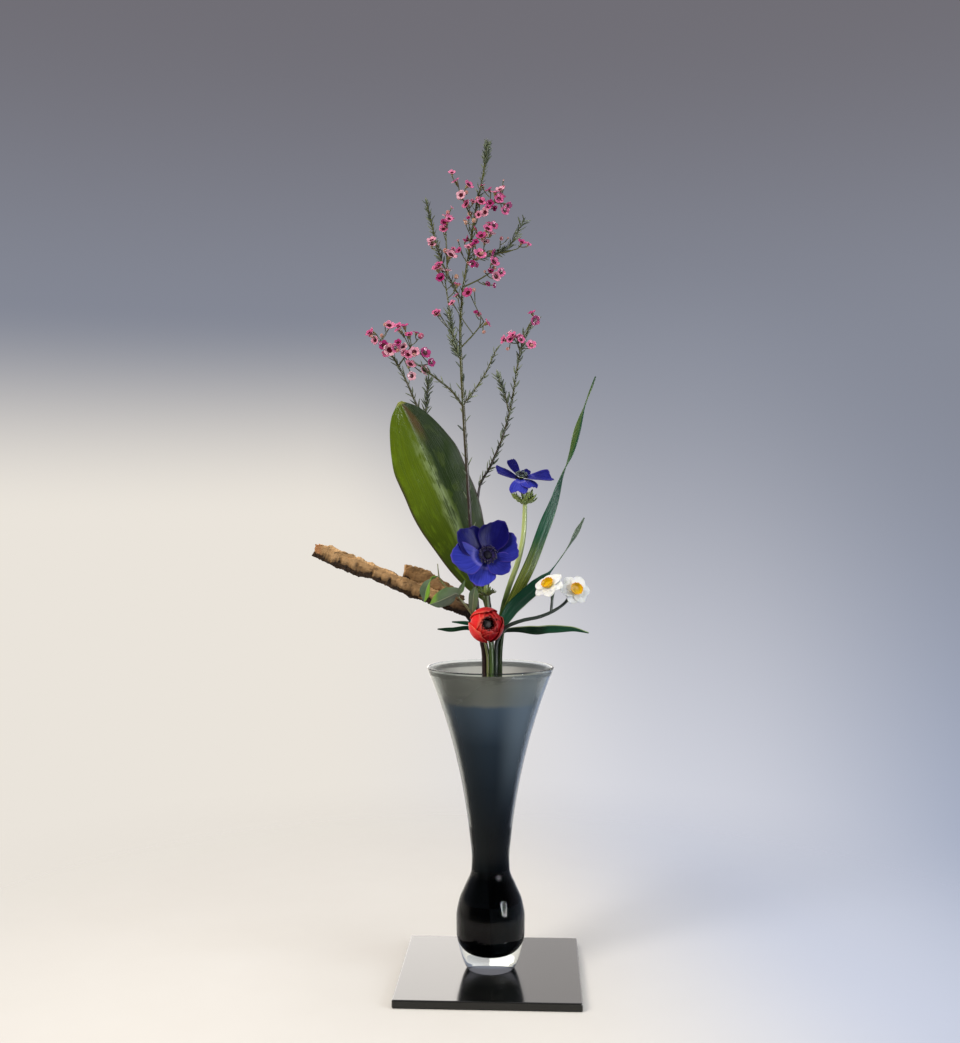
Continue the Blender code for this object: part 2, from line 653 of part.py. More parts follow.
def eucalyptus(twig_bark, leaf):
    """A thin twig at the front left with four leaves."""
    stem("eucalyptus_twig", rooted(243, 1.5, [
        (-6, -9, 341, 1.4), (-18, -13, 366, 1.2), (-32, -19, 384, 1.0), (-44, -22, 394.5, 0.9),
        (-50.5, -22, 404, 0.7), (-52, -22, 417, 0.5),
    ]), twig_bark, 20)
    blade("eucalyptus_leaf_outer", [
        (-51.9, -22.6, 404.5, 0.55, -0.6, 0.55, 0.9, 0.0),
        (-58, -26, 401, 0.60, -0.55, 0.55, 4.5, 0.25),
        (-63, -27, 391, 0.80, -0.50, 0.30, 5.0, 0.30),
        (-65, -26, 379, 0.90, -0.40, 0.10, 0.8, 0.0),
    ], leaf, 8, 4, PETAL_THICKNESS)
    blade("eucalyptus_leaf_broad", [
        (-30.5, -20.6, 385.2, 0.30, -0.50, 0.80, 1.2, 0.0),
        (-33, -24, 387.5, 0.40, -0.20, 0.90, 6.0, 0.15),
        (-42, -27, 384, 0.40, -0.20, 0.90, 9.5, 0.20),
        (-52, -28, 379.5, 0.40, -0.20, 0.90, 7.0, 0.15),
        (-59, -28, 377, 0.40, -0.20, 0.90, 0.8, 0.0),
    ], leaf, 10, 4, PETAL_THICKNESS)
    blade("eucalyptus_leaf_inner", [
        (-17.5, -14.7, 367.2, 0.80, -0.10, 0.50, 0.9, 0.0),
        (-17.0, -17.0, 376, 0.90, -0.10, 0.30, 4.5, 0.15),
        (-16.0, -20.0, 386, 0.90, -0.10, 0.30, 4.8, 0.15),
        (-14.5, -21.0, 394, 0.90, -0.10, 0.30, 0.8, 0.0),
    ], leaf, 8, 4, PETAL_THICKNESS)
    blade("eucalyptus_leaf_small", [
        (-31.6, -18.0, 385.3, 0.80, -0.30, 0.30, 0.9, 0.0),
        (-29, -17.5, 391, 0.90, -0.20, 0.20, 3.0, 0.10),
        (-25, -18, 400, 0.90, -0.20, 0.40, 0.8, 0.0),
    ], leaf, 6, 2, PETAL_THICKNESS)


# ---------------------------------------------------------------- the whole arrangement


def build():
    """Makes every piece of the arrangement."""
    global PARTS
    clear_scene()
    PARTS = bpy.data.collections.new("ikebana_arrangement")
    bpy.context.scene.collection.children.link(PARTS)
    lacquer = material("black_lacquer", (0.010, 0.011, 0.010), 0.06)
    glass = material("smoke_glass", (0.10, 0.12, 0.14), 0.03, transmission=0.9)
    bark = material("weathered_bark", (0.36, 0.22, 0.10), 0.85)
    broad_green = material("aspidistra_green", (0.09, 0.20, 0.02), 0.35)
    wood = material("wax_flower_wood", (0.10, 0.07, 0.05), 0.7)
    pink = material("wax_flower_pink", (0.82, 0.45, 0.50), 0.45)
    stem_green = material("anemone_stem_green", (0.33, 0.42, 0.12), 0.5)
    ruff_green = material("anemone_ruff_green", (0.12, 0.20, 0.06), 0.6)
    blue = material("anemone_blue", (0.03, 0.03, 0.36), 0.45)
    dark = material("anemone_dark", (0.006, 0.006, 0.012), 0.5)
    coral = material("ranunculus_coral", (0.75, 0.04, 0.03), 0.4)
    crimson = material("ranunculus_crimson", (0.25, 0.005, 0.01), 0.45)
    scape_green = material("narcissus_scape_green", (0.08, 0.12, 0.07), 0.5)
    leaf_green = material("narcissus_leaf_green", (0.03, 0.13, 0.07), 0.4)
    white = material("narcissus_white", (0.85, 0.86, 0.83), 0.45)
    yellow = material("narcissus_yellow", (0.85, 0.55, 0.02), 0.45)
    twig_bark = material("eucalyptus_twig_bark", (0.20, 0.17, 0.10), 0.6)
    grey_green = material("eucalyptus_grey_green", (0.16, 0.22, 0.12), 0.55)

    base_board(lacquer)
    glass_vase(glass)
    bark_branch(bark)
    aspidistra_leaf(broad_green)
    wax_flower_stem("waxflower_stem_front", 205, FRONT_MAIN, FRONT_SHOOTS, wood)
    wax_flower_stem("waxflower_stem_back", 92, BACK_MAIN, BACK_SHOOTS, wood)
    for name, (base, tip, count, reach, first) in SPRAYS.items():
        wax_flower_spray(f"waxflower_spray_{name}", base, tip, count, reach, first, pink)
    finishes = (stem_green, ruff_green, blue, dark)
    anemone(
        "anemone_front", -90, INNER_RING, [(0.5, -3.6, 345, 2.1), (-3, -7.0, 376, 2.1), (-4.5, -9.5, 398, 2.1)],
        (-2.5, -25, 425), (0.26, -0.90, 0.34),
        [
            (0, 195, 39, 48, 11), (0, 315, 33, 50, 11), (0, 75, 34, 50, 11),
            (1, 140, 37, 41, 11), (1, 255, 35, 41, 11), (1, 20, 33, 41, 11),
        ],
        8.0, ((-3.6, -8.0, 385), (-0.1, -0.15, 0.98)), finishes,
    )
    anemone(
        "anemone_back", 54, OUTER_RING,
        [(8.5, 10, 350, 2.1), (12, 14, 370, 2.1), (19, 17, 394, 2.1), (28, 20, 420, 2.1), (33.5, 22, 450, 2.1),
         (34.5, 23, 476, 2.0)],
        (31, 22, 505), (0.05, -0.42, 0.90),
        [
            (0, 355, 33, 24, 1), (0, 125, 22, 22, 26), (0, 255, 24, 28, -19),
            (1, 172, 27, 22, 12), (1, 70, 22, 26, 20), (1, 305, 21, 20, -6),
        ],
        5.2, ((33.8, 23.5, 482), (-0.2, 0.15, 1.0)), finishes,
    )
    ranunculus(stem_green, coral, crimson)
    narcissus(scape_green, leaf_green, white, yellow)
    eucalyptus(twig_bark, grey_green)


build()
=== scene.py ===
"""Looks of the ikebana arrangement: cut flowers, leaves and bark in a smoke-glass vase on a lacquered board.

Rows of sizes are in millimetres and every mesh is brought to metres as it is made. The origin is the centre
of the board's underside, +Z is up and the arrangement faces -Y.
"""

import bpy
import numpy as np
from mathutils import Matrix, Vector


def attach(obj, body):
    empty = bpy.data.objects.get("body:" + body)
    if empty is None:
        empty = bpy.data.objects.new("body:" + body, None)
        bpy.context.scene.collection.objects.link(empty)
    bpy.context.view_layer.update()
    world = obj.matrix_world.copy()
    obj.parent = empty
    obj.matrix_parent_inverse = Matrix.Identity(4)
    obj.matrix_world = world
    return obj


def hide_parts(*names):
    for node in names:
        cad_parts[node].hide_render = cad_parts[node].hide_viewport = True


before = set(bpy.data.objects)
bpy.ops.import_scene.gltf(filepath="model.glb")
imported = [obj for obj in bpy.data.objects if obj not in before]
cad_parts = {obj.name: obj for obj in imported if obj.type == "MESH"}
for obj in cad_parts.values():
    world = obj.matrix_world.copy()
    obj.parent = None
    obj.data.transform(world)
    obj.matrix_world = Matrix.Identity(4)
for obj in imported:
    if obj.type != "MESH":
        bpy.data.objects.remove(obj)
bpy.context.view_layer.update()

# ---------------------------------------------------------------- studio
# A viewer stands a little right of the front, level with the flowers. A pale floor fades into the air
# round it, which is light and warm below and grey above. Soft lamps: warm from the upper left, cool right.

MM = 0.001
scene = bpy.context.scene
scene.view_settings.view_transform = "Standard"

eye = bpy.data.cameras.new("viewer")
eye.lens = 41.88
eye.sensor_width = 36.0
viewer = bpy.data.objects.new("viewer", eye)
viewer.location = (0.0476, -1.2282, 0.4591)
viewer.rotation_euler = (np.radians(90.0), 0.0, np.radians(2.718))
scene.collection.objects.link(viewer)
scene.camera = viewer


def shade(red, green, blue):
    """A colour from display values of 0 to 255, as the linear light a shader works in."""
    c = np.array((red, green, blue)) / 255.0
    linear = np.where(c <= 0.04045, c / 12.92, ((c + 0.055) / 1.055) ** 2.4)
    return (*linear.tolist(), 1.0)


def unit(vector):
    """The vector or vectors scaled to length 1."""
    vector = np.asarray(vector, dtype=float)
    return vector / np.linalg.norm(vector, axis=-1, keepdims=True)


class Value:
    """The output of a shader node; arithmetic on it adds Math nodes."""

    def __init__(self, web, socket):
        self.web = web
        self.socket = socket

    def math(self, operation, *values):
        return self.web.node("ShaderNodeMath", {"operation": operation}, dict(enumerate(values)))

    def __add__(self, other):
        return self.math("ADD", self, other)

    def __sub__(self, other):
        return self.math("SUBTRACT", self, other)

    def __rsub__(self, other):
        return self.math("SUBTRACT", other, self)

    def __mul__(self, other):
        return self.math("MULTIPLY", self, other)

    def __truediv__(self, other):
        return self.math("DIVIDE", self, other)

    __radd__ = __add__
    __rmul__ = __mul__

    def size(self):
        return self.math("ABSOLUTE", self)

    def between(self, low, high):
        """0 below low, 1 above high, and a smooth step in between; low may be the larger."""
        ease = {"interpolation_type": "SMOOTHSTEP"}
        return self.web.node("ShaderNodeMapRange", ease, {"Value": self, "From Min": low, "From Max": high})


class Web:
    """The nodes of a finish or of the air, added one by one."""

    def __init__(self, tree):
        self.tree = tree

    def node(self, kind, settings, inputs, out=0):
        """A node of that type: its settings first, then its sockets' values or links."""
        made = self.tree.nodes.new(kind)
        for name, setting in settings.items():
            if name == "stops":
                ramp = made.color_ramp
                for place, _ in setting[2:]:
                    ramp.elements.new(place)
                for stop, (place, colour) in zip(ramp.elements, sorted(setting)):
                    stop.position = place
                    stop.color = colour
            else:
                setattr(made, name, setting)
        for key, value in inputs.items():
            if isinstance(value, Value):
                self.tree.links.new(value.socket, made.inputs[key])
            else:
                made.inputs[key].default_value = value
        return Value(self, made.outputs[out])

    def axes(self, vector):
        """The three parts of a vector."""
        return [self.node("ShaderNodeSeparateXYZ", {}, {"Vector": vector}, i) for i in range(3)]

    def mix(self, share, first, second):
        """The first colour where share is 0, turning into the second where it is 1."""
        colours = {"data_type": "RGBA", "clamp_factor": True}
        return self.node("ShaderNodeMix", colours, {0: share, 6: first, 7: second}, 2)


class Finish(Web):
    """A material: constants are set on its Principled shader's sockets, and patterns are linked to them."""

    def __init__(self, name):
        self.material = bpy.data.materials.new(name)
        self.material.use_nodes = True
        super().__init__(self.material.node_tree)
        self.shader = self.tree.nodes["Principled BSDF"]

    def paint(self, sockets):
        for key, value in sockets.items():
            if isinstance(value, Value):
                self.tree.links.new(value.socket, self.shader.inputs[key])
            else:
                self.shader.inputs[key].default_value = value
        return self

    def place(self):
        """The object's own coordinates, in metres."""
        return self.node("ShaderNodeTexCoord", {}, {}, "Object")

    def across(self):
        """The surface's own two coordinates: along it, and across it."""
        return self.axes(self.node("ShaderNodeTexCoord", {}, {}, "UV"))[:2]

    def tone(self):
        """The number that each point of the piece carries."""
        return self.node("ShaderNodeAttribute", {"attribute_name": "tone"}, {}, "Fac")

    def over(self, along, side, shift=0.0):
        """A place to draw a pattern at, from the surface's own coordinates, stretched as wanted."""
        return self.node("ShaderNodeCombineXYZ", {}, {0: along, 1: side, 2: shift})

    def stretched(self, vector, amounts):
        return self.node("ShaderNodeVectorMath", {"operation": "MULTIPLY"}, {0: vector, 1: amounts})

    def noise(self, vector, scale, detail=3.0, roughness=0.55):
        return self.node("ShaderNodeTexNoise", {}, {
            "Vector": vector, "Scale": scale, "Detail": detail, "Roughness": roughness,
        })

    def cells(self, vector, scale):
        return self.node("ShaderNodeTexVoronoi", {}, {"Vector": vector, "Scale": scale})

    def relief(self, height, depth):
        """A bump from a height of 0 to 1, `depth` millimetres deep."""
        return self.node("ShaderNodeBump", {}, {"Height": height, "Distance": depth * MM, "Strength": 1.0})


def softbox(name, place, aim, across, power, tint, mirrored=False):
    """A square lamp that shines from one place towards another; a mirrored one is seen in gloss alone."""
    lamp = bpy.data.lights.new(name, "AREA")
    lamp.size = across
    lamp.energy = power
    lamp.color = tint
    box = bpy.data.objects.new(name, lamp)
    box.location = place
    box.rotation_euler = (Vector(aim) - Vector(place)).to_track_quat("-Z", "Y").to_euler()
    box.visible_camera = False
    box.visible_glossy = mirrored
    box.visible_diffuse = not mirrored
    box.visible_transmission = False
    scene.collection.objects.link(box)


softbox("key_light", (-1.15, -1.25, 1.35), (0.0, 0.0, 0.42), 0.8, 25.0, (1.0, 0.94, 0.86))
softbox("fill_light", (1.35, -0.7, 0.75), (0.0, 0.0, 0.40), 0.9, 9.0, (0.82, 0.91, 1.0))
softbox("ceiling_light", (0.0, 0.0, 2.3), (0.0, 0.0, 0.0), 2.6, 38.0, (1.0, 0.98, 0.95))
softbox("mirrored_wall", (0.0, 1.9, 0.8), (0.0, 0.0, 0.0), 2.6, 12.0, (1.0, 0.94, 0.86), True)
softbox("mirrored_window", (-0.85, 1.7, 0.8), (-0.85, 0.0, 0.0), 1.6, 9.0, (1.0, 0.95, 0.88), True)

world = bpy.data.worlds.new("studio_air")
world.use_nodes = True
scene.world = world
air = Web(world.node_tree)
east, north, rise = air.axes(air.node("ShaderNodeTexCoord", {}, {}, "Generated"))
cool = east.between(-0.19, 0.15)
height = (rise + cool * 0.31 + east.between(0.10, 0.45) * 0.10) / (0.17 + cool * 0.36)
low = air.mix(cool, shade(234, 228, 219), shade(212, 214, 224))
low = air.mix(east.between(0.12, 0.42), low, shade(160, 172, 198))
high = air.mix(rise.between(0.12, 0.40), shade(133, 137, 150), shade(112, 110, 117))
glow = air.mix(height.between(0.0, 1.0), low, high)
unseen = 1.0 - air.node("ShaderNodeLightPath", {}, {}, "Is Camera Ray")
glow = air.mix(north.between(0.05, -0.45) * unseen, glow, shade(62, 62, 66))
background = air.tree.nodes["Background"]
air.tree.links.new(glow.socket, background.inputs["Color"])


class Surface:
    """Points in millimetres with their quads and triangles, and a UV pair and a tone for each point."""

    def __init__(self, points, quads, triangles=((),), uv=None, tone=0.0):
        self.points = np.asarray(points, dtype=float).reshape(-1, 3)
        self.quads = np.asarray(quads, dtype=np.int32).reshape(-1, 4)
        self.triangles = np.asarray(triangles, dtype=np.int32).reshape(-1, 3)
        uv = np.zeros((len(self.points), 2)) if uv is None else uv
        self.uv = np.asarray(uv, dtype=float).reshape(-1, 2)
        self.tone = np.zeros(len(self.points)) + np.ravel(tone)


def sheet(points, uv, tone=0.0):
    """An open surface over a grid of points (rows, columns, 3): neighbours are joined into quads."""
    rows, columns = points.shape[:2]
    index = np.arange(rows * columns).reshape(rows, columns)
    quads = np.stack([index[:-1, :-1], index[:-1, 1:], index[1:, 1:], index[1:, :-1]], axis=-1)
    return Surface(points, quads, uv=uv, tone=tone)


def grid(rows, columns):
    """u from 0 to 1 down the rows and v from -1 to 1 across the columns, and the UV of each point."""
    u, v = np.meshgrid(np.linspace(0.0, 1.0, rows), np.linspace(-1.0, 1.0, columns), indexing="ij")
    return u, v, np.stack([u, 0.5 + 0.5 * v], axis=-1)


def mesh_of(name, surface, finish):
    """A smooth mesh object from a surface, in metres, with its UV map and its tones."""
    corners = np.concatenate([surface.quads.ravel(), surface.triangles.ravel()])
    sizes = np.concatenate([np.full(len(surface.quads), 4), np.full(len(surface.triangles), 3)])
    mesh = bpy.data.meshes.new(name)
    mesh.vertices.add(len(surface.points))
    mesh.vertices.foreach_set("co", (surface.points * MM).ravel())
    mesh.loops.add(len(corners))
    mesh.loops.foreach_set("vertex_index", corners.astype(np.int32))
    mesh.polygons.add(len(sizes))
    mesh.polygons.foreach_set("loop_start", (np.cumsum(sizes) - sizes).astype(np.int32))
    mesh.polygons.foreach_set("use_smooth", np.ones(len(sizes), dtype=bool))
    mesh.uv_layers.new(name="surface").data.foreach_set("uv", surface.uv[corners].ravel())
    mesh.attributes.new("tone", "FLOAT", "POINT").data.foreach_set("value", surface.tone)
    mesh.update(calc_edges=True)
    mesh.materials.append(finish.material)
    thing = bpy.data.objects.new(name, mesh)
    scene.collection.objects.link(thing)
    return thing


floor_paint = Finish("pale_floor")
spot = floor_paint.place()
away = floor_paint.node("ShaderNodeVectorMath", {"operation": "LENGTH"}, {0: spot}, "Value")
cloud = floor_paint.noise(spot, 9.0)
x, y, _ = floor_paint.axes(spot)
pale = floor_paint.mix(cloud, shade(238, 233, 225), shade(243, 239, 232))
# The floor turns blue-grey towards the right and the back: a painted cool shade on that side.
floor_paint.paint({
    "Base Color": floor_paint.mix((x + y * 0.2).between(0.02, 0.40), pale, shade(206, 212, 228)),
    "Roughness": cloud * 0.2 + 0.5,
    "Specular IOR Level": 0.0,
    "Alpha": 1.0 - away.between(0.18, 0.95),
})
FLOOR_REACH = 1200.0
FLOOR_LEVEL = -0.3
u, v, uv = grid(41, 41)
ground = np.stack([FLOOR_REACH * 2.0 * (u - 0.5), FLOOR_REACH * v, 0.0 * u + FLOOR_LEVEL], axis=-1)
floor = mesh_of("floor", sheet(ground, uv), floor_paint)

# A ring lamp to the right of the camera, seen only as bright rings in gloss: a turned tube about its face.
RING_LAMP = (1.18, -0.94, 0.46)
RING_RADIUS = 285.0
RING_TUBE = 42.0
u, turn = np.meshgrid(np.linspace(0.0, 2.0 * np.pi, 13), np.linspace(0.0, 2.0 * np.pi, 65), indexing="ij")
band = RING_RADIUS + RING_TUBE * np.cos(u)
face = unit(-np.array(RING_LAMP) * (1.0, 1.0, 0.0))
level = np.cross((0.0, 0.0, 1.0), face)
hoop = level * (band * np.cos(turn))[..., None] + face * (RING_TUBE * np.sin(u))[..., None]
hoop = hoop + np.array((0.0, 0.0, 1.0)) * (band * np.sin(turn))[..., None] + np.array(RING_LAMP) / MM
glow_tube = Finish("ring_lamp_glow")
shimmer = glow_tube.noise(glow_tube.place(), 3.0)
glow_tube.paint({
    "Base Color": shade(240, 240, 240),
    "Roughness": glow_tube.noise(glow_tube.place(), 5.0) * 0.2 + 0.4,
    "Emission Color": glow_tube.mix(shimmer, shade(244, 250, 255), shade(255, 255, 255)),
    "Emission Strength": 44.0,
})
ring_lamp = mesh_of("ring_lamp", sheet(hoop, np.stack([u, turn], axis=-1)), glow_tube)
ring_lamp.visible_camera = False
ring_lamp.visible_diffuse = False
ring_lamp.visible_transmission = False
ring_lamp.visible_shadow = False

# ---------------------------------------------------------------- lacquered board
# A square of wood under many coats of black lacquer, polished till it mirrors the room. Its edges are
# eased by hand. It lies loose under the vase.

lacquer = Finish("black_lacquer")
spot = lacquer.place()
polish = lacquer.noise(spot, 34.0, 4.0)
dust = lacquer.noise(spot, 420.0, 2.0).between(0.60, 0.78)
x, y, z = lacquer.axes(spot)
wear_and_painted_light = x.size().between(0.0878, 0.0900) + y.size().between(0.0878, 0.0900)
black = lacquer.mix(polish, shade(10, 11, 11), shade(18, 20, 19))
lacquer.paint({
    "Base Color": lacquer.mix(dust * 0.05 + wear_and_painted_light * 0.05, black, shade(150, 146, 138)),
    "Roughness": polish * 0.08 + dust * 0.08 + 0.09,
    "Normal": lacquer.relief(lacquer.noise(spot, 120.0, 2.0), 0.01),
    "IOR": 1.35,
    "Coat Weight": z.between(0.0070, 0.0077),
    "Coat Roughness": 0.12,
    "Coat IOR": 2.3,
})
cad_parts["base_board"].material_slots[0].material = lacquer.material

# ---------------------------------------------------------------- blown vase
# Cased glass, blown in one: a solid clear foot and a clear casing with a smoke layer, which is black in
# the bulb and thins to grey towards the flared mouth. It stands on the board and holds water, of which
# only the surface shows. Profiles are (radius, height): outside from foot to rim, inside from rim to floor.

VASE_OUTSIDE = [
    (23.4, 8.3), (25.6, 11.5), (31.0, 27.0), (34.6, 45.0), (34.7, 60.0), (32.0, 76.0), (25.4, 92.0),
    (19.6, 106.0), (18.7, 117.0), (20.8, 141.0), (27.9, 189.0), (39.2, 238.0), (51.7, 278.0), (64.2, 311.0),
]
VASE_INSIDE = [
    (61.0, 310.6), (48.8, 278.0), (36.0, 238.0), (24.4, 189.0), (17.2, 141.0), (14.6, 117.0), (15.0, 106.0),
    (20.6, 92.0), (27.6, 76.0), (30.2, 60.0), (29.4, 45.0), (24.5, 33.5), (13.0, 26.2), (0.0, 26.0),
]
SMOKE_OUTSIDE = [
    (0.0, 23.0), (10.0, 23.3), (18.0, 25.6), (24.6, 31.6), (29.9, 43.0), (31.6, 58.0), (29.6, 75.0),
    (23.6, 91.0), (19.4, 103.0), (19.3, 108.0), (19.0, 117.0), (21.1, 141.0), (28.2, 189.0), (39.5, 238.0),
    (52.0, 278.0), (63.9, 310.0),
]
SMOKE_INSIDE = [
    (60.6, 309.4), (48.4, 278.0), (35.6, 238.0), (24.1, 189.0), (17.4, 141.0), (15.5, 117.0), (16.2, 106.0),
    (22.0, 92.0), (28.6, 76.0), (30.9, 60.0), (29.6, 45.0), (24.9, 33.3), (13.0, 25.6), (0.0, 25.4),
]
VASE_AROUND = 128
WATER_LEVEL = 279.5


def smooth(rows, count):
    """`count` rows on a smooth curve through the given rows, without overshoot.

    Each column is a monotone cubic of the chord length over the first three columns. Every stretch
    between two given rows gets the same share of the samples.
    """
    rows = np.array(rows, dtype=float)
    chords = np.linalg.norm(np.diff(rows[:, :3], axis=0), axis=1)
    knots = np.concatenate([[0.0], np.cumsum(chords)])
    step = chords[:, None]
    rise = np.diff(rows, axis=0) / step
    slope = np.zeros_like(rows)
    slope[0] = rise[0]
    slope[-1] = rise[-1]
    turning = rise[1:] * rise[:-1] <= 0.0
    before = np.where(turning, 1.0, rise[:-1])
    after = np.where(turning, 1.0, rise[1:])
    weight_before = 2.0 * step[1:] + step[:-1]
    weight_after = step[1:] + 2.0 * step[:-1]
    mean = (weight_before + weight_after) / (weight_before / before + weight_after / after)
    slope[1:-1] = np.where(turning, 0.0, mean)
    at = np.interp(np.linspace(0, len(rows) - 1, count), np.arange(len(rows)), knots)
    i = np.clip(np.searchsorted(knots, at, side="right") - 1, 0, len(rows) - 2)
    h = step[i]
    t = (at - knots[i])[:, None] / h
    return (
        (2 * t**3 - 3 * t**2 + 1) * rows[i]
        + (t**3 - 2 * t**2 + t) * h * slope[i]
        + (3 * t**2 - 2 * t**3) * rows[i + 1]
        + (t**3 - t**2) * h * slope[i + 1]
    )


def turns(count):
    """`count` angles evenly round a full turn."""
    return np.linspace(0.0, 2.0 * np.pi, count, False)


def closed(rings, tips=None, tone=0.0):
    """A closed body from rings of points (rows, around, 3).

    Neighbours are joined into quads, and a fan of triangles shuts each end at its tip, or at the middle
    of the end ring. U runs along the rings and V from one side of them to the other and back.
    """
    rows, around = rings.shape[:2]
    index = np.arange(rows * around).reshape(rows, around)
    after = np.roll(index, -1, axis=1)
    quads = np.stack([index[:-1], after[:-1], after[1:], index[1:]], axis=-1)
    tips = rings[[0, -1]].mean(axis=1) if tips is None else np.asarray(tips, dtype=float)
    first = np.full(around, rows * around)
    fans = np.concatenate([
        np.stack([after[0], index[0], first], axis=-1), np.stack([index[-1], after[-1], first + 1], axis=-1),
    ])
    along, turn = np.meshgrid(np.linspace(0.0, 1.0, rows), turns(around), indexing="ij")
    uv = np.stack([along, 0.5 - 0.5 * np.cos(turn)], axis=-1).reshape(-1, 2)
    uv = np.concatenate([uv, [(0.0, 0.5), (1.0, 0.5)]])
    if np.ndim(tone):
        tone = np.concatenate([np.ravel(tone), [np.mean(tone[0]), np.mean(tone[-1])]])
    return Surface(np.concatenate([rings.reshape(-1, 3), tips]), quads, fans, uv, tone)


def turned(profile):
    """A body turned about Z: (radius, height) rows whose first and last lie on the axis, outside first."""
    profile = np.asarray(profile, dtype=float)
    turn = turns(VASE_AROUND)
    radius, height = profile[1:-1, 0, None], profile[1:-1, 1, None]
    rings = np.stack([radius * np.cos(turn), radius * np.sin(turn), height + 0.0 * turn], axis=-1)
    tips = [(0.0, 0.0, profile[0, 1]), (0.0, 0.0, profile[-1, 1])]
    return closed(rings, tips)


def curve(rows, count):
    """A smooth curve through (radius, height) rows."""
    padded = [(radius, height, 0.0) for radius, height in rows]
    return smooth(padded, count)[:, :2]


def piece(name, surface, finish, nodes=(), thickness=0.0, subdivide=0):
    """Fixes a surface to the frame in place of its nodes; an open sheet is given its thickness."""
    thing = mesh_of(name, surface, finish)
    if subdivide:
        rounder = thing.modifiers.new("rounded", "SUBSURF")
        rounder.levels = subdivide
        rounder.render_levels = subdivide
    if thickness:
        wall = thing.modifiers.new("thickness", "SOLIDIFY")
        wall.thickness = thickness * MM
        wall.offset = 0.0
    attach(thing, "root")
    if nodes:
        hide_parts(*nodes)


clear_glass = Finish("clear_casing")
spot = clear_glass.place()
swirl = clear_glass.noise(clear_glass.stretched(spot, (1.0, 1.0, 0.35)), 34.0, 1.0)
clear_glass.paint({
    "Base Color": clear_glass.mix(clear_glass.noise(spot, 14.0), shade(250, 253, 250), shade(243, 249, 247)),
    "Roughness": clear_glass.noise(spot, 60.0).between(0.35, 0.95) * 0.008
    + clear_glass.axes(spot)[2].between(0.026, 0.018) * 0.05,
    "Normal": clear_glass.relief(swirl, 0.05),
    "Transmission Weight": 1.0,
    "IOR": 1.23,
})
outside = curve(VASE_OUTSIDE, 116)
inside = curve(VASE_INSIDE, 104)
rim = [(64.3, 311.9), (63.7, 312.6), (62.8, 312.8), (61.9, 312.4), (61.2, 311.5)]
underside = [(0.0, 10.2), (12.0, 9.9), (19.0, 9.0), (22.4, 8.35)]
piece(
    "glass_casing", turned(np.concatenate([underside, outside, rim, inside])), clear_glass,
    ["glass_vase"],
)

smoke = Finish("smoke_layer")
spot = smoke.place()
x, _, z = smoke.axes(spot)
streak = smoke.noise(smoke.stretched(spot, (1.0, 1.0, 0.12)), 70.0, 3.0)
level = (z + (streak - 0.5) * 0.003 + x * 0.006) * 3.2
depth = smoke.node("ShaderNodeValToRGB", {"stops": [
    (0.0, shade(0, 0, 1)), (1.0, shade(70, 70, 62)), (0.33, shade(1, 2, 3)), (0.36, shade(5, 9, 12)),
    (0.47, shade(4, 12, 18)), (0.62, shade(10, 26, 38)), (0.76, shade(30, 46, 60)),
    (0.886, shade(74, 92, 110)), (0.898, shade(124, 129, 124)), (0.96, shade(112, 115, 108)),
]}, {"Fac": level})
# The smoke is painted darker on its left half and pale blue-grey on the right of the upper trumpet: painted
# shade and painted light of the backdrop seen through the glass.
across = (x / (z * 0.29 - 0.022)).between(-1.0, 1.0)
depth = smoke.mix(across.between(0.55, 0.10) * 0.5, depth, shade(20, 26, 28))
depth = smoke.mix(across.between(0.60, 0.90) * level.between(0.5, 0.9) * 0.45, depth, shade(150, 166, 176))
clear = smoke.node("ShaderNodeValToRGB", {"stops": [
    (0.0, (0.0, 0.0, 0.0, 1.0)), (1.0, (0.34, 0.34, 0.34, 1.0)), (0.50, (0.0, 0.0, 0.0, 1.0)),
    (0.66, (0.01, 0.01, 0.01, 1.0)), (0.80, (0.05, 0.05, 0.05, 1.0)), (0.886, (0.12, 0.12, 0.12, 1.0)),
    (0.898, (0.24, 0.24, 0.24, 1.0)),
]}, {"Fac": level})
edge = smoke.node("ShaderNodeLayerWeight", {}, {"Blend": 0.5}, "Facing").between(0.36, 0.72)
thin = smoke.axes(clear)[0] * (0.92 + streak * 0.16)
within = smoke.tone()
# Above the water the inside of the smoke layer is painted pale: painted light on the inner wall.
smoke.paint({
    "Base Color": smoke.mix(within * z.between(0.284, 0.292), depth, shade(222, 221, 212)),
    "Roughness": (streak * 0.06 + 0.03) * level.between(0.33, 0.42) + 0.02,
    "Alpha": 1.0 - (thin + (1.0 - thin) * edge * level.between(0.33, 0.40) * 0.70),
    "IOR": 1.12,
    "Coat Weight": level.between(0.33, 0.42) * 0.18,
    "Coat Roughness": 0.03,
})
smoke_layer = turned(np.concatenate([curve(SMOKE_OUTSIDE, 110), curve(SMOKE_INSIDE, 104)]))
smoke_layer.tone = np.repeat((0.0, 1.0), (109 * VASE_AROUND, len(smoke_layer.points) - 109 * VASE_AROUND))
piece("smoke_layer", smoke_layer, smoke)

water = Finish("still_water")
ripple = water.noise(water.place(), 45.0, 1.0)
water.paint({
    "Base Color": water.mix(ripple, shade(240, 243, 240), shade(250, 252, 250)),
    "Roughness": ripple * 0.03,
    "Normal": water.relief(ripple, 0.15),
    "Transmission Weight": 1.0,
    "IOR": 1.33,
})
brim = np.interp(WATER_LEVEL, inside[::-1, 1], inside[::-1, 0]) - 1.4
skin = [
    (0.0, -3.0), (brim - 4.0, -3.0), (brim - 1.3, -2.8), (brim, 0.6), (brim - 1.4, 0.15), (brim - 4.0, 0.0),
    (24.0, 0.0), (0.0, 0.0),
]
piece("water", turned(np.array(skin) + (0.0, WATER_LEVEL)), water)

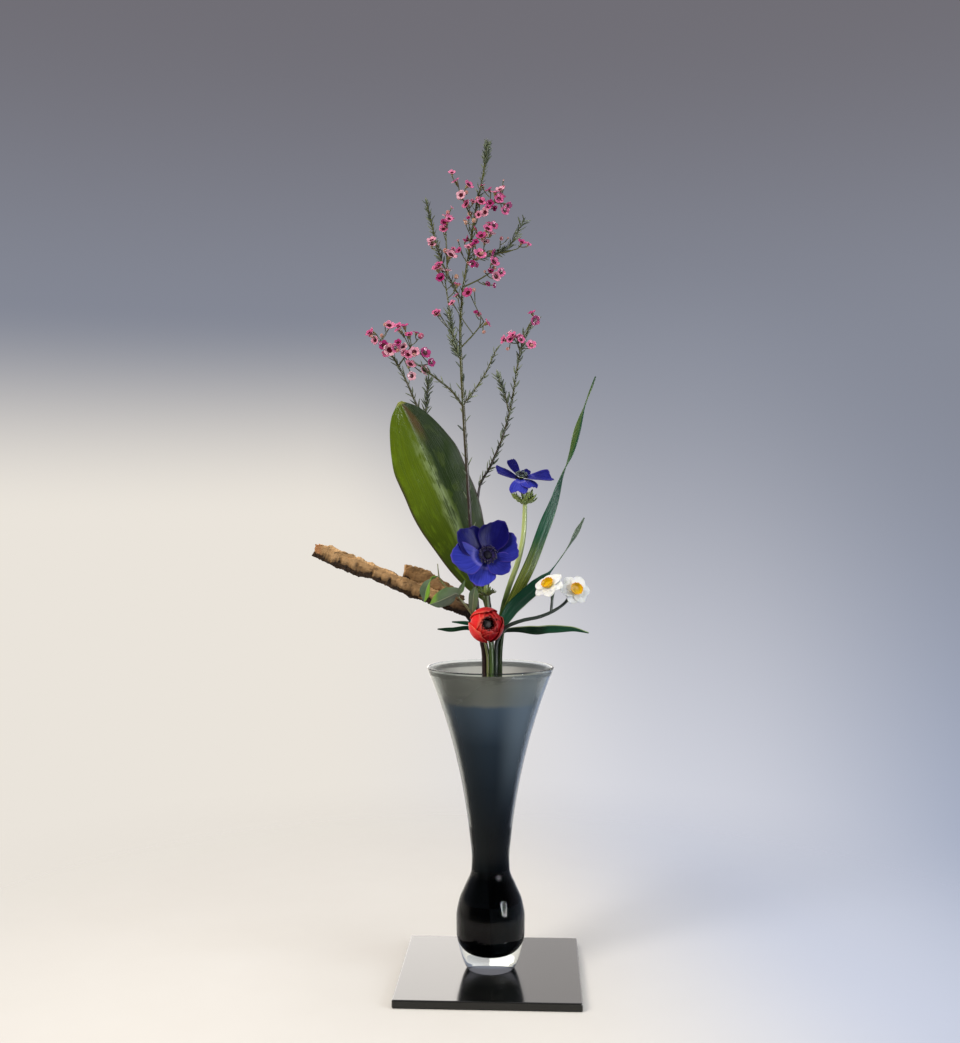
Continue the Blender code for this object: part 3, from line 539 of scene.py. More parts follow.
# ---------------------------------------------------------------- the column of stems
# Every stem stands on the floor of the bulb, rises through the neck in one packed column and fans out
# above the water. A stem's place in the column is its slot: an angle on a ring.

COLUMN_X = 1.5
OUTER_RING = 8.2
INNER_RING = 2.6
FOOT_LEVEL = 26.6
PARTING = 316.0


def slot(angle, ring=OUTER_RING):
    """The place of a stem in the column, at an angle in degrees on a ring."""
    turn = np.radians(angle)
    return COLUMN_X + ring * np.cos(turn), ring * np.sin(turn)


def rooted(angle, radius, rows, ring=OUTER_RING):
    """The rows of a stem that stands in the vase, at its slot up to where the column parts."""
    x, y = slot(angle, ring)
    return [(x, y, FOOT_LEVEL, radius), (x, y, PARTING, radius), *rows]


def travelled(points):
    """The distance covered along a path up to each of its points, as a column."""
    return np.cumsum(np.linalg.norm(np.diff(points, axis=0, prepend=points[:1]), axis=1))[:, None]


def stem(rows, count, around=12, guide=(0.0, 1.0, 0.0), knots=0.0, seed=0):
    """A round stem along a smooth path: a ring about each point, square to the path there.

    The rows are (x, y, z, radius). The guide is a direction that the path never follows. `knots` swells
    the radius by that share in slow waves along and round the stem.
    """
    path = smooth(rows, count)
    run = unit(np.gradient(path[:, :3], axis=0))
    side = unit(np.cross(run, np.asarray(guide)))
    back = np.cross(run, side)
    turn = turns(around)
    length = travelled(path[:, :3])
    phase = np.random.default_rng(seed).uniform(0.0, 6.0, 3)
    swell = np.sin(0.21 * length + phase[0] + turn) + np.sin(0.47 * length + phase[1] - 2.0 * turn)
    swell = swell + np.sin(0.93 * length + phase[2] + 3.0 * turn)
    radius = path[:, 3, None] * (1.0 + knots * swell / 3.0)
    spokes = side[:, None] * np.cos(turn)[:, None] + back[:, None] * np.sin(turn)[:, None]
    return closed(path[:, None, :3] + spokes * radius[..., None])


def joined(surfaces):
    """One surface from several, with their points numbered on."""
    starts = np.cumsum([0] + [len(s.points) for s in surfaces[:-1]])
    return Surface(
        np.concatenate([s.points for s in surfaces]),
        np.concatenate([s.quads + start for s, start in zip(surfaces, starts)]),
        np.concatenate([s.triangles + start for s, start in zip(surfaces, starts)]),
        np.concatenate([s.uv for s in surfaces]),
        np.concatenate([s.tone for s in surfaces]),
    )


# ---------------------------------------------------------------- weathered bark
# A strip of old bark that reaches out to the left, with a second layer split off along its inner half.
# Its ends are torn, its underside is pitted and painted dark as shade, and its inner end is whittled to a peg
# in the vase.

BARK_SIDE = (0.35, -0.25, 0.9)
BARK_GRAIN = [(7, 0.09, 0.30), (9, 0.26, 0.30), (12, 0.70, 0.13), (14, 1.7, 0.06)]
BARK_PITS = [(10, 0.5, 0.30)]
TORN_EDGE = [(12, 2.0, 0.4)]


def grain(along, turn, seed, layers):
    """Roughness as a sum of waves: each layer gives how many, their pitch along and their height.

    A wave is sin(pitch * along + phase) * sin(n * turn + phase), where n is a whole number, so that it
    meets itself round the piece.
    """
    rng = np.random.default_rng(seed)
    total = 0.0 * along
    for count, pitch, height in layers:
        for _ in range(count):
            first, second = rng.uniform(0.0, 2.0 * np.pi, 2)
            number = rng.integers(1, 7)
            waves = np.sin(pitch * rng.uniform(0.6, 1.5) * along + first) * np.sin(number * turn + second)
            total = total + height * waves
    return total


def bark_layer(rows, count, thickness, seed, torn):
    """A slab along a smooth path: a flattened ring about each point, roughened, with torn ends.

    Rows are (x, y, z, half width, dish). The ring is side * cos + face * sin, squared off a little, and
    both ends are pushed along the path by `torn` millimetres of roughness. Tone is 1 on the upper edge.
    """
    path = smooth(rows, count)
    run = unit(np.gradient(path[:, :3], axis=0))
    side = np.asarray(BARK_SIDE) - (run @ np.asarray(BARK_SIDE))[:, None] * run
    side = unit(side)
    face = np.cross(run, side)
    turn = turns(64)[None]
    length = travelled(path[:, :3])
    rough = grain(length + 0.0 * turn, turn, seed, BARK_GRAIN)
    pits = np.minimum(0.0, grain(length + 0.0 * turn, turn, seed + 7, BARK_PITS) + 0.35) * 1.7
    across = np.sign(np.cos(turn)) * np.abs(np.cos(turn)) ** 0.5
    through = np.sign(np.sin(turn)) * np.abs(np.sin(turn)) ** 0.5
    half = path[:, 3, None] * (1.0 + 0.03 * rough) + rough + pits
    thick = 0.5 * thickness + rough * 0.45 + pits * 0.8
    bend = path[:, 4, None] * half * across**2
    points = path[:, None, :3] + side[:, None] * (half * across)[..., None]
    points = points + face[:, None] * (thick * through + bend)[..., None]
    share = np.linspace(0.0, 1.0, count)[:, None]
    tear = grain(0.0 * share + turn, turn, seed + 3, TORN_EDGE) * torn
    push = tear * (np.clip(1.0 - share / 0.05, 0.0, 1.0) + np.clip((share - 0.95) / 0.05, 0.0, 1.0))
    points = points + run[:, None] * push[..., None]
    # The tone is a painted light: 1 on the lit upper edge, 0 on the shaded lower edge, and darker in the
    # pits.
    lit = 0.5 + 0.5 * across + 0.10 * rough + 0.22 * pits
    return closed(points, tone=lit + 0.0 * turn)


bark = Finish("weathered_bark")
spot = bark.place()
lengthwise = bark.stretched(spot, (0.16, 1.0, 0.8))
fibre = bark.noise(lengthwise, 620.0, 6.0, 0.65)
patch = bark.noise(spot, 70.0, 4.0)
pocks = bark.cells(spot, 260.0).between(0.0, 0.5)
# The colour carries painted light and shade: tan along the lit upper edge, brown lower down, and dark on the
# shaded underside.
top = bark.tone() + (patch - 0.5) * 0.5
brown = bark.mix(fibre, shade(96, 72, 46), shade(172, 136, 92))
tan = bark.mix(fibre, shade(178, 134, 84), shade(240, 198, 146))
wear_and_painted_light = bark.mix(top.between(0.34, 0.66), brown, tan)
cracks = bark.noise(bark.stretched(spot, (0.5, 1.0, 1.0)), 170.0, 3.0).between(0.54, 0.64)
wear_and_painted_light = bark.mix(cracks * 0.55, wear_and_painted_light, shade(66, 44, 26))
x, _, z = bark.axes(spot)
wear_and_painted_light = bark.mix(x.between(-0.092, -0.078) * z.between(0.386, 0.396) * 0.7, wear_and_painted_light, brown)
under = bark.mix(fibre * pocks, shade(22, 15, 9), shade(74, 54, 34))
left_end = x.between(-0.168, -0.174)
raw = bark.mix(fibre, shade(178, 116, 70), shade(222, 166, 116))
coloured = bark.mix(left_end * top.between(0.2, 0.5), bark.mix(top.between(0.20, 0.36), under, wear_and_painted_light), raw)
shadow = x.between(-0.052, -0.024)
bark.paint({
    "Base Color": bark.mix(shadow * 0.85, coloured, shade(26, 17, 11)),
    "Roughness": 0.94 - fibre * 0.18,
    "Normal": bark.relief(fibre * 0.6 + pocks * 0.3 + bark.noise(spot, 240.0, 4.0) * 0.6, 1.1),
    "Specular IOR Level": 0.25,
})
strip = bark_layer([
    (-176, -10, 431, 6.6, 0.30), (-168, -10, 428, 8.2, 0.30), (-160, -10, 425, 8.7, 0.30),
    (-142, -10, 418, 8.6, 0.30), (-124, -9.5, 411, 8.0, 0.28), (-107, -9, 404, 7.8, 0.25),
    (-90, -6.5, 396, 7.8, 0.25), (-71, -4, 388.5, 7.8, 0.20), (-52, -1, 381, 7.2, 0.2),
    (-36, 2, 374, 6.6, 0.15), (-22, 4, 367.5, 5.2, 0.10),
], 300, 6.0, 11, 2.8)
layer = bark_layer([
    (-88, 1, 407.5, 8.6, 0.25), (-78, 1.5, 404, 9.8, 0.22), (-66, 2, 399, 10.2, 0.20),
    (-48, 3, 389, 9.2, 0.15), (-30, 4, 376, 6.5, 0.10),
], 150, 6.5, 23, 1.6)
peg_rows = [(-8.6, 4.0, 337, 2.4), (-14, 5.0, 350, 2.8), (-27, 4.0, 369, 3.2)]
peg = stem(rooted(168, 2.3, peg_rows), 90, 14, knots=0.08)
piece("bark_branch", joined([strip, layer, peg]), bark, ["bark_branch"])

# ---------------------------------------------------------------- aspidistra leaf
# One broad leathery leaf that leans left behind the flowers. Its veins run lengthwise from a channelled
# midrib, which carries on into the stalk. It is glossy, with a bruise near the tip and a worn margin.

LEAF_BASE = np.array((-6.0, 0.0, 379.0))
LEAF_LEAN = np.array((-0.4, 0.0, 0.917))
LEAF_SIDE = (0.917, 0.0, 0.4)
# The outline, as (reach up the lean, depth, half width).
LEAF_OUTLINE = [
    (0, 11, 2.2), (19, 15, 13.5), (53, 20.5, 25), (92, 24.5, 33.5), (122, 26, 36.0),
    (152, 26.5, 35.5), (176, 26, 31), (196, 25, 23.5), (211, 24, 14.5), (222.5, 22.5, 2.0),
]


def blade(rows, along, across, ribs=0.0, wave=0.0, keel=0.0, seed=0):
    """A leaf along a smooth path: at (u, v) the point is centre + side * half * v + face * lift.

    Rows are (x, y, z, side x, side y, side z, half width, dish). The lift is half * dish * v squared, less a
    narrow channel `keel` deep along the midrib, plus a ripple of `wave` that grows towards the edges and
    fine lengthwise ribs `ribs` high.
    """
    path = smooth(rows, along)
    centre = path[:, :3]
    run = unit(np.gradient(centre, axis=0))
    side = unit(path[:, 3:6] - np.sum(path[:, 3:6] * run, axis=1, keepdims=True) * run)
    face = np.cross(run, side)
    u, v, uv = grid(along, across)
    half = path[:, 6, None]
    length = travelled(centre)
    phase = np.random.default_rng(seed).uniform(0.0, 6.0, 3)
    lift = path[:, 7, None] * half * v * v - keel * np.exp(-((v / 0.10) ** 2)) * np.clip(half / 6.0, 0.0, 1.0)
    ripple = np.sin(0.09 * length + phase[0] + 1.2 * v) + 0.6 * np.sin(0.21 * length + phase[1] - 1.5 * v)
    lift = lift + wave * ripple * np.abs(v) ** 1.5 * np.clip(half / 5.0, 0.0, 1.0)
    lift = lift + ribs * np.cos(np.pi * v * 6.0) * np.clip(half / 4.0, 0.0, 1.0)
    width = half * (1.0 + 0.012 * np.sin(0.11 * length + phase[2]))
    points = centre[:, None] + side[:, None] * (width * v)[..., None]
    return sheet(points + face[:, None] * lift[..., None], uv)


leather = Finish("aspidistra_green")
along, side = leather.across()
spot = leather.place()
lengths = leather.over(along * 2.2, side * 46.0)
vein = leather.noise(lengths, 1.0, 2.0)
fine = leather.noise(leather.over(along * 5.0, side * 150.0), 1.0, 2.0)
blotch = leather.noise(spot, 42.0, 3.0)
# Painted light and shade: the left part is painted bright yellow-green as lit, the right part deep green as
# shade.
bright = leather.mix(vein, shade(70, 94, 0), shade(112, 134, 4))
deep = leather.mix(vein, shade(18, 34, 3), shade(44, 68, 12))
right = (side + (blotch - 0.5) * 0.12 - (along - 0.5) * 0.10).between(0.42, 0.62)
green = leather.mix(right, bright, deep)
shaded_green = leather.mix(vein, shade(20, 34, 6), shade(44, 60, 16))
green = leather.mix(along.between(0.55, 0.12) * 0.85, green, shaded_green)
patch = leather.noise(leather.over(along * 13.0, side * 9.0), 1.0, 3.0)
# The blotches follow the same painted light: lighter on the left and darker on the right.
blotched = leather.mix(side, shade(112, 140, 20), shade(34, 50, 10))
green = leather.mix(patch.between(0.52, 0.62) * 0.5, green, blotched)
streak = (side - 0.62 + (blotch - 0.5) * 0.16).size().between(0.13, 0.02)
streak = streak * along.between(0.62, 0.80) * along.between(1.0, 0.93)
green = leather.mix(streak * 0.85, green, shade(94, 70, 30))
margin = side.between(0.05, 0.0) * along.between(0.66, 0.50)
margin = margin + side.between(0.965, 1.0) * along.between(0.8, 0.3)
green = leather.mix(margin * 0.9, green, shade(56, 34, 30))
pale = (side - 0.5 + (blotch - 0.5) * 0.10 - (0.55 - along) * 0.12).size().between(0.12, 0.02)
broken = vein.between(0.35, 0.6) * 0.4 + patch.between(0.44, 0.56) * 0.6
gleam = pale * along.between(0.18, 0.34) * along.between(0.80, 0.62) * broken
green = leather.mix(gleam * 0.75, green, shade(150, 170, 112))
green = leather.mix(along.between(0.955, 0.985) * 0.8, green, shade(168, 172, 70))
leather.paint({
    "Base Color": green,
    "Roughness": 0.42 - vein * 0.16 + blotch * 0.10,
    "Normal": leather.relief(vein * 0.6 + fine * 0.4, 0.45),
    "Coat Weight": 0.35,
    "Coat Roughness": 0.22,
})
rows = [
    (*(LEAF_BASE + LEAF_LEAN * reach + (0, depth, 0)), *LEAF_SIDE, half, 0.12)
    for reach, depth, half in LEAF_OUTLINE
]
lamina = blade(rows, 190, 61, 0.0, 0.35, 0.9, 5)
stalk = stem(rooted(90, 2.2, [
    (0.5, 4.8, 347, 2.2), (-3.5, 9.0, 369, 2.2), (-9.5, 13.0, 387, 2.0), (-27.5, 20.6, 428, 1.0),
], INNER_RING), 70)
piece("aspidistra_leaf", lamina, leather, ["aspidistra_leaf"], 0.8)


def stalk_finish(name, dark, light, tip=None, tip_heights=(0.40, 0.60)):
    """The skin of a stem: fine lengthwise fibres between two colours, turning to a third with height."""
    skin = Finish(name)
    spot = skin.place()
    fibre = skin.noise(skin.stretched(spot, (1.0, 1.0, 0.06)), 900.0, 3.0)
    patch = skin.noise(spot, 60.0, 3.0)
    colour = skin.mix(fibre * 0.6 + patch * 0.4, shade(*dark), shade(*light))
    if tip:
        high = (skin.axes(spot)[2] + (patch - 0.5) * 0.05).between(*tip_heights)
        colour = skin.mix(high, colour, skin.mix(fibre * 0.4, shade(*tip), shade(*light)))
    return skin.paint({
        "Base Color": colour,
        "Roughness": fibre * 0.25 + 0.35,
        "Normal": skin.relief(fibre * 0.7 + patch * 0.3, 0.25),
    })


leaf_stalk = stalk_finish("aspidistra_stalk_green", (38, 52, 14), (96, 116, 40))
piece("aspidistra_stalk", stalk, leaf_stalk)

# ---------------------------------------------------------------- wax flower
# Two woody stems fork into thin shoots set with needle leaves. Small waxy flowers stand round the twigs on
# short stalks: five round petals about a dark cup, with round buds among them.

FRONT_MAIN = [
    (-9, -2, 340, 2.2), (-14, -0.5, 378, 2.1), (-18, 2, 420, 2.0), (-23, 5, 494, 1.8), (-28, 5, 578, 1.7),
    (-31, 5, 650, 1.4), (-29, 5, 688, 1.3), (-22, 5, 732, 1.2), (-16, 5, 772, 1.1), (-7, 5, 815, 1.0),
    (-3, 5, 843, 0.6),
]
FRONT_SHOOTS = [
    [(-28, 5, 576, 1.2), (-39, 3, 591, 1.1), (-60, -2, 608, 0.9), (-72, -5, 617, 0.7)],
    [(-28, 5, 578, 1.2), (-21, 8, 587, 1.1), (-5, 12, 612, 0.9), (6, 12, 636, 0.7)],
    [(-29, 5, 683, 1.0), (-39, 3, 701, 1.0), (-51, 0, 727, 0.9), (-65, -2, 783, 0.7)],
    [(-23, 5, 722, 1.0), (-4, 12, 731, 0.9), (14, 14, 737, 0.8), (34, 17, 768, 0.7)],
    [(-30, 5, 622, 1.0), (-37, 2, 640, 0.9), (-42, 1, 672, 0.7)],
]
BACK_MAIN = [
    (0.5, 12, 348, 2.1), (-3, 19, 380, 2.0), (-8, 27, 412, 1.9), (-12, 33, 442, 1.8), (-16, 34, 470, 1.7),
]
BACK_SHOOTS = [
    [
        (-16, 34, 468, 1.4), (-39, 35, 499, 1.3), (-54, 36, 527, 1.3), (-66, 36, 554, 1.2),
        (-77, 34, 577, 1.2), (-89, 24, 606, 1.1), (-99, 14, 625, 1.0), (-108, 8, 638, 0.8),
    ],
    [
        (-16, 34, 469, 1.4), (-13, 33, 494, 1.3), (-1, 28, 517, 1.3), (12, 22, 547, 1.2),
        (20, 18, 576, 1.1), (28, 12, 622, 1.0), (32, 11, 641, 0.9), (46, 10, 668, 0.7),
    ],
    [(-70, 36, 562, 1.0), (-68, 33, 585, 0.9), (-66, 30, 606, 0.7)],
    [(19, 18, 572, 1.0), (13, 12, 591, 0.9), (7, 8, 607, 0.7)],
]

# Where needles grow: the shoot's rows, the part of it they cover, how many, and their length.
NEEDLES = [
    (FRONT_MAIN, 0.925, 1.0, 52, 6.4), (FRONT_MAIN, 0.78, 0.925, 24, 6.5),
    (FRONT_MAIN, 0.22, 0.78, 34, 8.5), (FRONT_SHOOTS[0], 0.1, 1.0, 14, 8.0),
    (FRONT_SHOOTS[1], 0.1, 1.0, 16, 8.0), (FRONT_SHOOTS[2], 0.62, 1.0, 40, 6.6),
    (FRONT_SHOOTS[2], 0.1, 0.62, 12, 8.0), (FRONT_SHOOTS[3], 0.2, 1.0, 44, 8.0),
    (FRONT_SHOOTS[4], 0.1, 1.0, 46, 8.5), (BACK_MAIN, 0.5, 1.0, 5, 7.0),
    (BACK_SHOOTS[0], 0.1, 0.98, 40, 8.5), (BACK_SHOOTS[1], 0.15, 0.98, 52, 8.5),
    (BACK_SHOOTS[2], 0.2, 1.0, 26, 8.5), (BACK_SHOOTS[3], 0.2, 1.0, 24, 8.5),
]

# Each spray of flowers: where its twig leaves the wood and where it ends, then its flowers, each as
# (x, y, z, width, tone). Tone runs from 0 for a pale flower to 1 for a magenta one; a bud's is 2 more.
SPRAYS = {
    "crown_left": ((-17.5, 5, 765), (-31, -1, 792), [
        (-35.1, 0, 803.8, 8, 0.6), (-22.3, -6, 798.3, 9, 0.65), (-29.1, -9, 787.3, 8.5, 0.05),
        (-24.0, -4, 779.3, 8.5, 0.4),
    ]),
    "crown_right": ((-16, 5, 770), (10, -1, 788), [
        (-9.9, -2, 782.3, 9, 0.55), (-1.6, 4, 795.7, 7, 0.9), (5.0, -8, 789.6, 8, 0.5),
        (9.8, -2, 794.3, 8, 0.1), (13.3, 3, 798.6, 4, 3.0), (8.7, -10, 782.7, 8.5, 0.7),
        (-0.2, -6, 779.4, 7, 0.95), (16.3, -6, 776.9, 10, 0.75), (-4.9, -8, 770.2, 8, 0.1),
        (4.1, 6, 778.4, 6, 0.8),
    ]),
    "upper_right": ((-20, 5, 742), (0, -3, 757), [
        (-16.5, -4, 763.2, 6, 2.2), (-24.7, -3, 761.5, 5, 2.1), (3.0, -2, 758.1, 8, 0.6),
        (-2.8, -8, 753.3, 9, 0.5), (-8.7, -12, 745.3, 9, 0.85), (0.2, 0, 750.4, 8, 0.1),
        (-21.3, 8, 773.1, 6, 2.5),
    ]),
    "left_high": ((-44, 2, 711), (-45, -7, 757), [
        (-43.7, -8, 766.3, 9, 0.5), (-45.9, -14, 758.7, 7, 0.9), (-47.0, -10, 752.9, 8, 0.35),
        (-58.6, -12, 741.3, 8.5, 0.15), (-40.1, -6, 727.6, 11, 0.1), (-43.2, -2, 772.2, 5, 2.6),
        (-38.7, 2, 732.3, 6, 0.55),
    ]),
    "middle_right": ((-23.5, 5, 720), (-5, -6, 733), [
        (-16.2, -10, 737.5, 7, 1), (-5.4, -4, 741.2, 8, 0.1), (-23.4, -2, 744.8, 7, 0.9),
        (-10.4, -14, 726.0, 11.5, 0.45), (-18.0, -8, 718.8, 6.5, 1), (1.7, -4, 731.2, 7, 0.95),
        (-22.0, -9, 734.8, 7, 0.2), (-15.5, 2, 732.7, 6, 0.6), (-31.5, -4, 732.9, 6, 0.8),
    ]),
    "low_right": ((-27.5, 5, 698), (2, -2, 712), [
        (3.2, -6, 720.4, 10, 0.65), (-0.1, -2, 712.0, 6, 0.95), (5.5, -8, 705.1, 9, 0.15),
        (-3.2, 0, 699.6, 5, 1),
    ]),
    "far_right": ((3.5, 13, 733.5), (24, 8, 736), [(31.4, 4, 742.2, 7.5, 0.85), (10.9, 6, 747.0, 5, 2.7)]),
    "left_middle": ((-39.3, 2.0, 659), (-46, -7, 704), [
        (-53.4, -10, 713.6, 9.5, 0.55), (-49.8, -13, 703.3, 8, 0.95), (-44.0, -4, 712.1, 8.5, 0.1),
        (-33.4, -6, 697.8, 6.5, 0.75), (-34.7, 0, 707.4, 6, 2.3),
    ]),
    "small_right": ((-30.5, 5, 636), (-7, 3, 662), [
        (-3.7, 0, 659.9, 8, 0.75), (-11.7, 4, 669.8, 6, 2.9), (-22.2, -6, 689.5, 9.5, 0.8),
        (-38.5, -4, 679.5, 7, 0.25), (-52.6, -6, 668.8, 8, 0.45),
    ]),
    "cluster_left_outer": ((-103, 11, 631), (-112, 1, 644), [
        (-121.5, 8, 652.2, 9, 0.55), (-116.6, -4, 643.0, 7.5, 0.2), (-103.1, 0, 658.0, 9, 0.25),
        (-111.7, 8, 649.4, 5, 2.5), (-101.8, -8, 632.2, 11, 0.05), (-95.5, -12, 633.5, 8.5, 0.6),
        (-106.4, 0, 630.0, 7, 0.4),
    ]),
    "cluster_left_inner": ((-96, 17, 619), (-80, -2, 638), [
        (-92.3, -4, 653.5, 9.5, 0.45), (-87.8, 2, 657.5, 8.5, 0.85), (-81.9, -6, 647.6, 7, 0.8),
        (-70.8, 0, 647.5, 7.5, 3.0), (-87.8, -8, 634.8, 8, 0.05), (-82.5, -12, 626.7, 8, 0.3),
        (-76.1, -14, 629.0, 9.5, 0.15), (-66.1, -8, 628.9, 10, 0.9), (-81.2, -6, 617.6, 10, 0.2),
        (-67.4, -2, 612.0, 9, 0.1),
    ]),
    "cluster_right": ((30, 11.5, 633), (27, 4, 640), [
        (44.6, 6, 663.7, 9, 0.8), (13.9, 0, 642.9, 8, 0.55), (22.3, -4, 646.3, 8.5, 0.5),
        (27.1, 2, 645.9, 8, 0.45), (30.8, -2, 642.5, 7, 0.6), (41.1, 0, 637.2, 9, 0.35),
        (18.6, 6, 645.3, 7, 0.3),
    ]),
}
GOLDEN_ANGLE = np.pi * (3.0 - 5.0**0.5)
NEEDLE_FULLNESS = 1.6
NEEDLE_STRETCH = 1.1
FLOWER_STRETCH = 1.24
# Each placed flower has a companion: its spread about it in (x, y, z, width, tone), its size, the share
# of companions that are buds, a bud's size and tone, and how far along the placed one's stalk it starts.
COMPANION_SPREAD = (4.2, 3.0, 4.2, 0.4, 0.25)
COMPANION_SIZE = 0.8
BUD_SHARE = 0.35
BUD_SIZE = 0.65
BUD_TONE = 2.5
COMPANION_FORK = 0.55


def aimed(directions, turns, sizes):
    """Axes for copies of a shape: z along each direction, x and y turned about it, all scaled."""
    z = unit(directions)
    guide = np.where(np.abs(z[:, 2:]) > 0.9, (1.0, 0.0, 0.0), (0.0, 0.0, 1.0))
    level = unit(np.cross(guide, z))
    upward = np.cross(z, level)
    turns = np.asarray(turns)[:, None]
    x = level * np.cos(turns) + upward * np.sin(turns)
    return np.stack([x, np.cross(z, x), z], axis=-1) * np.asarray(sizes)[:, None, None]


def copies(shape, places, axes, tones):
    """The shape at many places at once: each point becomes axes @ point + place."""
    count, size = len(places), len(shape.points)
    shift = np.arange(count)[:, None, None] * size
    points = np.einsum("nij,pj->npi", axes, shape.points) + np.asarray(places)[:, None]
    return Surface(
        points, shape.quads + shift, shape.triangles + shift, np.tile(shape.uv, (count, 1)),
        np.asarray(tones, dtype=float)[:, None] + shape.tone,
    )


def needle_leaf():
    """A needle 1 long along z: a thin spindle of square rings that bows a little to one side."""
    share = np.array((0.0, 0.25, 0.6, 0.9))[:, None]
    girth = np.array((0.040, 0.105, 0.100, 0.050))[:, None]
    turn = turns(4)
    bow = 0.16 * share * share
    rings = np.stack([girth * np.cos(turn) + bow, 0.6 * girth * np.sin(turn), share + 0.0 * turn], axis=-1)
    return closed(rings, [(0.0, 0.0, -0.02), (0.17, 0.0, 1.0)])


def picked(rows, share):
    """The rows of a path at the given shares of the way along it, in straight steps between them."""
    steps = np.linspace(0.0, 1.0, len(rows))
    return np.stack([np.interp(share, steps, column) for column in rows.T], axis=-1)


def needles(rows, start, end, count, length, seed):
    """Needles up a shoot, turned by the golden angle, each leaning out from it and forward along it."""
    rng = np.random.default_rng(seed)
    path = smooth(rows, 400)
    share = np.linspace(start, end, count)
    at = picked(path, share)
    along = unit(picked(np.gradient(path[:, :3], axis=0), share))
    turn = GOLDEN_ANGLE * np.arange(count) + rng.uniform(0.0, 6.0)
    level = unit(np.cross(along, (0.0, 1.0, 0.2)))
    outward = level * np.cos(turn)[:, None] + np.cross(along, level) * np.sin(turn)[:, None]
    lean = along * rng.uniform(1.1, 2.1, (count, 1)) + outward
    sizes = length * rng.uniform(0.65, 1.1, count)
    axes = aimed(lean, rng.uniform(0.0, 6.0, count), sizes)
    return copies(needle_leaf(), at[:, :3] + outward * at[:, 3:] * 0.7, axes, rng.uniform(0.0, 1.0, count))


def wax_petals():
    """The five round petals of a flower 2 wide: each a dished disc of a few faces beside the axis.

    A point at (u, v) lies 0.34 + 0.64 u from the axis, less at the sides, turned 37 degrees * v * sqrt(sin)
    from the petal's middle, and lifts with u.
    """
    u, v, uv = grid(5, 5)
    petals = []
    for number in range(5):
        radius = 0.34 + 0.64 * u * (1.0 - 0.13 * v * v)
        turn = np.radians(72.0 * number + 37.0 * v * np.sqrt(np.sin(np.pi * (0.18 + 0.60 * u))))
        lift = 0.10 + 0.30 * u**1.5 - 0.12 * v * v * u + 0.06 * np.sin(2.0 * number + 1.0) * u
        petals.append(sheet(np.stack([radius * np.cos(turn), radius * np.sin(turn), lift], axis=-1), uv))
    return joined(petals)


def wax_cup():
    """The green-backed cup of a flower 2 wide: a funnel below the petals with a dark, shallow dish."""
    turn = turns(10)
    rows = [
        (0.13, -0.80, 0.0), (0.30, -0.42, 0.0), (0.42, 0.04, 0.0), (0.44, 0.16, 1.0), (0.36, 0.17, 2.0),
        (0.20, 0.06, 2.0),
    ]
    radius, level, part = np.array(rows).T[:, :, None]
    rings = np.stack([radius * np.cos(turn), radius * np.sin(turn), level + 0.0 * turn], axis=-1)
    return closed(rings, [(0.0, 0.0, -0.86), (0.0, 0.0, 0.10)], part + 0.0 * turn)


def bud():
    """A round bud 2 wide on its cup: an egg of rings about z."""
    turn = turns(8)
    polar = np.radians(np.array((160.0, 125.0, 90.0, 55.0, 25.0)))[:, None]
    girth, rise = np.sin(polar), -1.1 * np.cos(polar)
    rings = np.stack([girth * np.cos(turn), girth * np.sin(turn), rise + 0.0 * turn], axis=-1)
    return closed(0.75 * rings, [(0.0, 0.0, -0.83), (0.0, 0.0, 0.83)])


wood = stalk_finish("waxflower_wood", (30, 18, 23), (68, 50, 46), (92, 98, 44), (0.46, 0.70))
needle_green = Finish("waxflower_needle_green")
spot = needle_green.place()
turned_green = needle_green.tone() + (needle_green.noise(spot, 30.0) - 0.5) * 0.8
needle_green.paint({
    "Base Color": needle_green.mix(turned_green, shade(56, 68, 52), shade(136, 146, 112)),
    "Roughness": needle_green.noise(spot, 300.0) * 0.3 + 0.4,
})
wax_pink = Finish("waxflower_petals")
along, _ = wax_pink.across()
tone = wax_pink.tone()
speck = wax_pink.noise(wax_pink.place(), 330.0, 3.0)
pale = wax_pink.mix(speck, shade(222, 164, 178), shade(246, 206, 210))
pink = wax_pink.mix(speck, shade(204, 78, 136), shade(236, 130, 174))
magenta = wax_pink.mix(speck, shade(142, 16, 90), shade(200, 56, 134))
petal_colour = wax_pink.mix(tone.between(-0.15, 0.45), pale, pink)
petal_colour = wax_pink.mix(tone.between(0.55, 1.0), petal_colour, magenta)
wax_pink.paint({
    "Base Color": wax_pink.mix(along.between(0.30, 0.0) * 0.8, petal_colour, shade(140, 20, 60)),
    "Roughness": speck * 0.2 + 0.28,
    "Normal": wax_pink.relief(wax_pink.noise(wax_pink.place(), 900.0, 2.0), 0.10),
})
wax_heart = Finish("waxflower_cup")
tone = wax_heart.tone()
speck = wax_heart.noise(wax_heart.place(), 500.0, 3.0)
green_back = wax_heart.mix(speck, shade(96, 106, 48), shade(158, 128, 84))
crimson = wax_heart.mix(speck, shade(38, 4, 16), shade(96, 14, 34))
wax_heart.paint({
    "Base Color": wax_heart.mix(tone.between(0.3, 1.2), green_back, crimson),
    "Roughness": speck * 0.3 + 0.3,
    "Normal": wax_heart.relief(speck, 0.2),
})
bud_skin = Finish("waxflower_buds")
spot = bud_skin.place()
tone = bud_skin.tone() - 2.0
rosy = bud_skin.mix(tone.between(0.2, 1.0), shade(176, 150, 104), shade(168, 36, 96))
bud_skin.paint({
    "Base Color": bud_skin.mix(bud_skin.noise(spot, 260.0) * 0.6, rosy, shade(226, 150, 160)),
    "Roughness": bud_skin.noise(spot, 400.0) * 0.3 + 0.25,
})

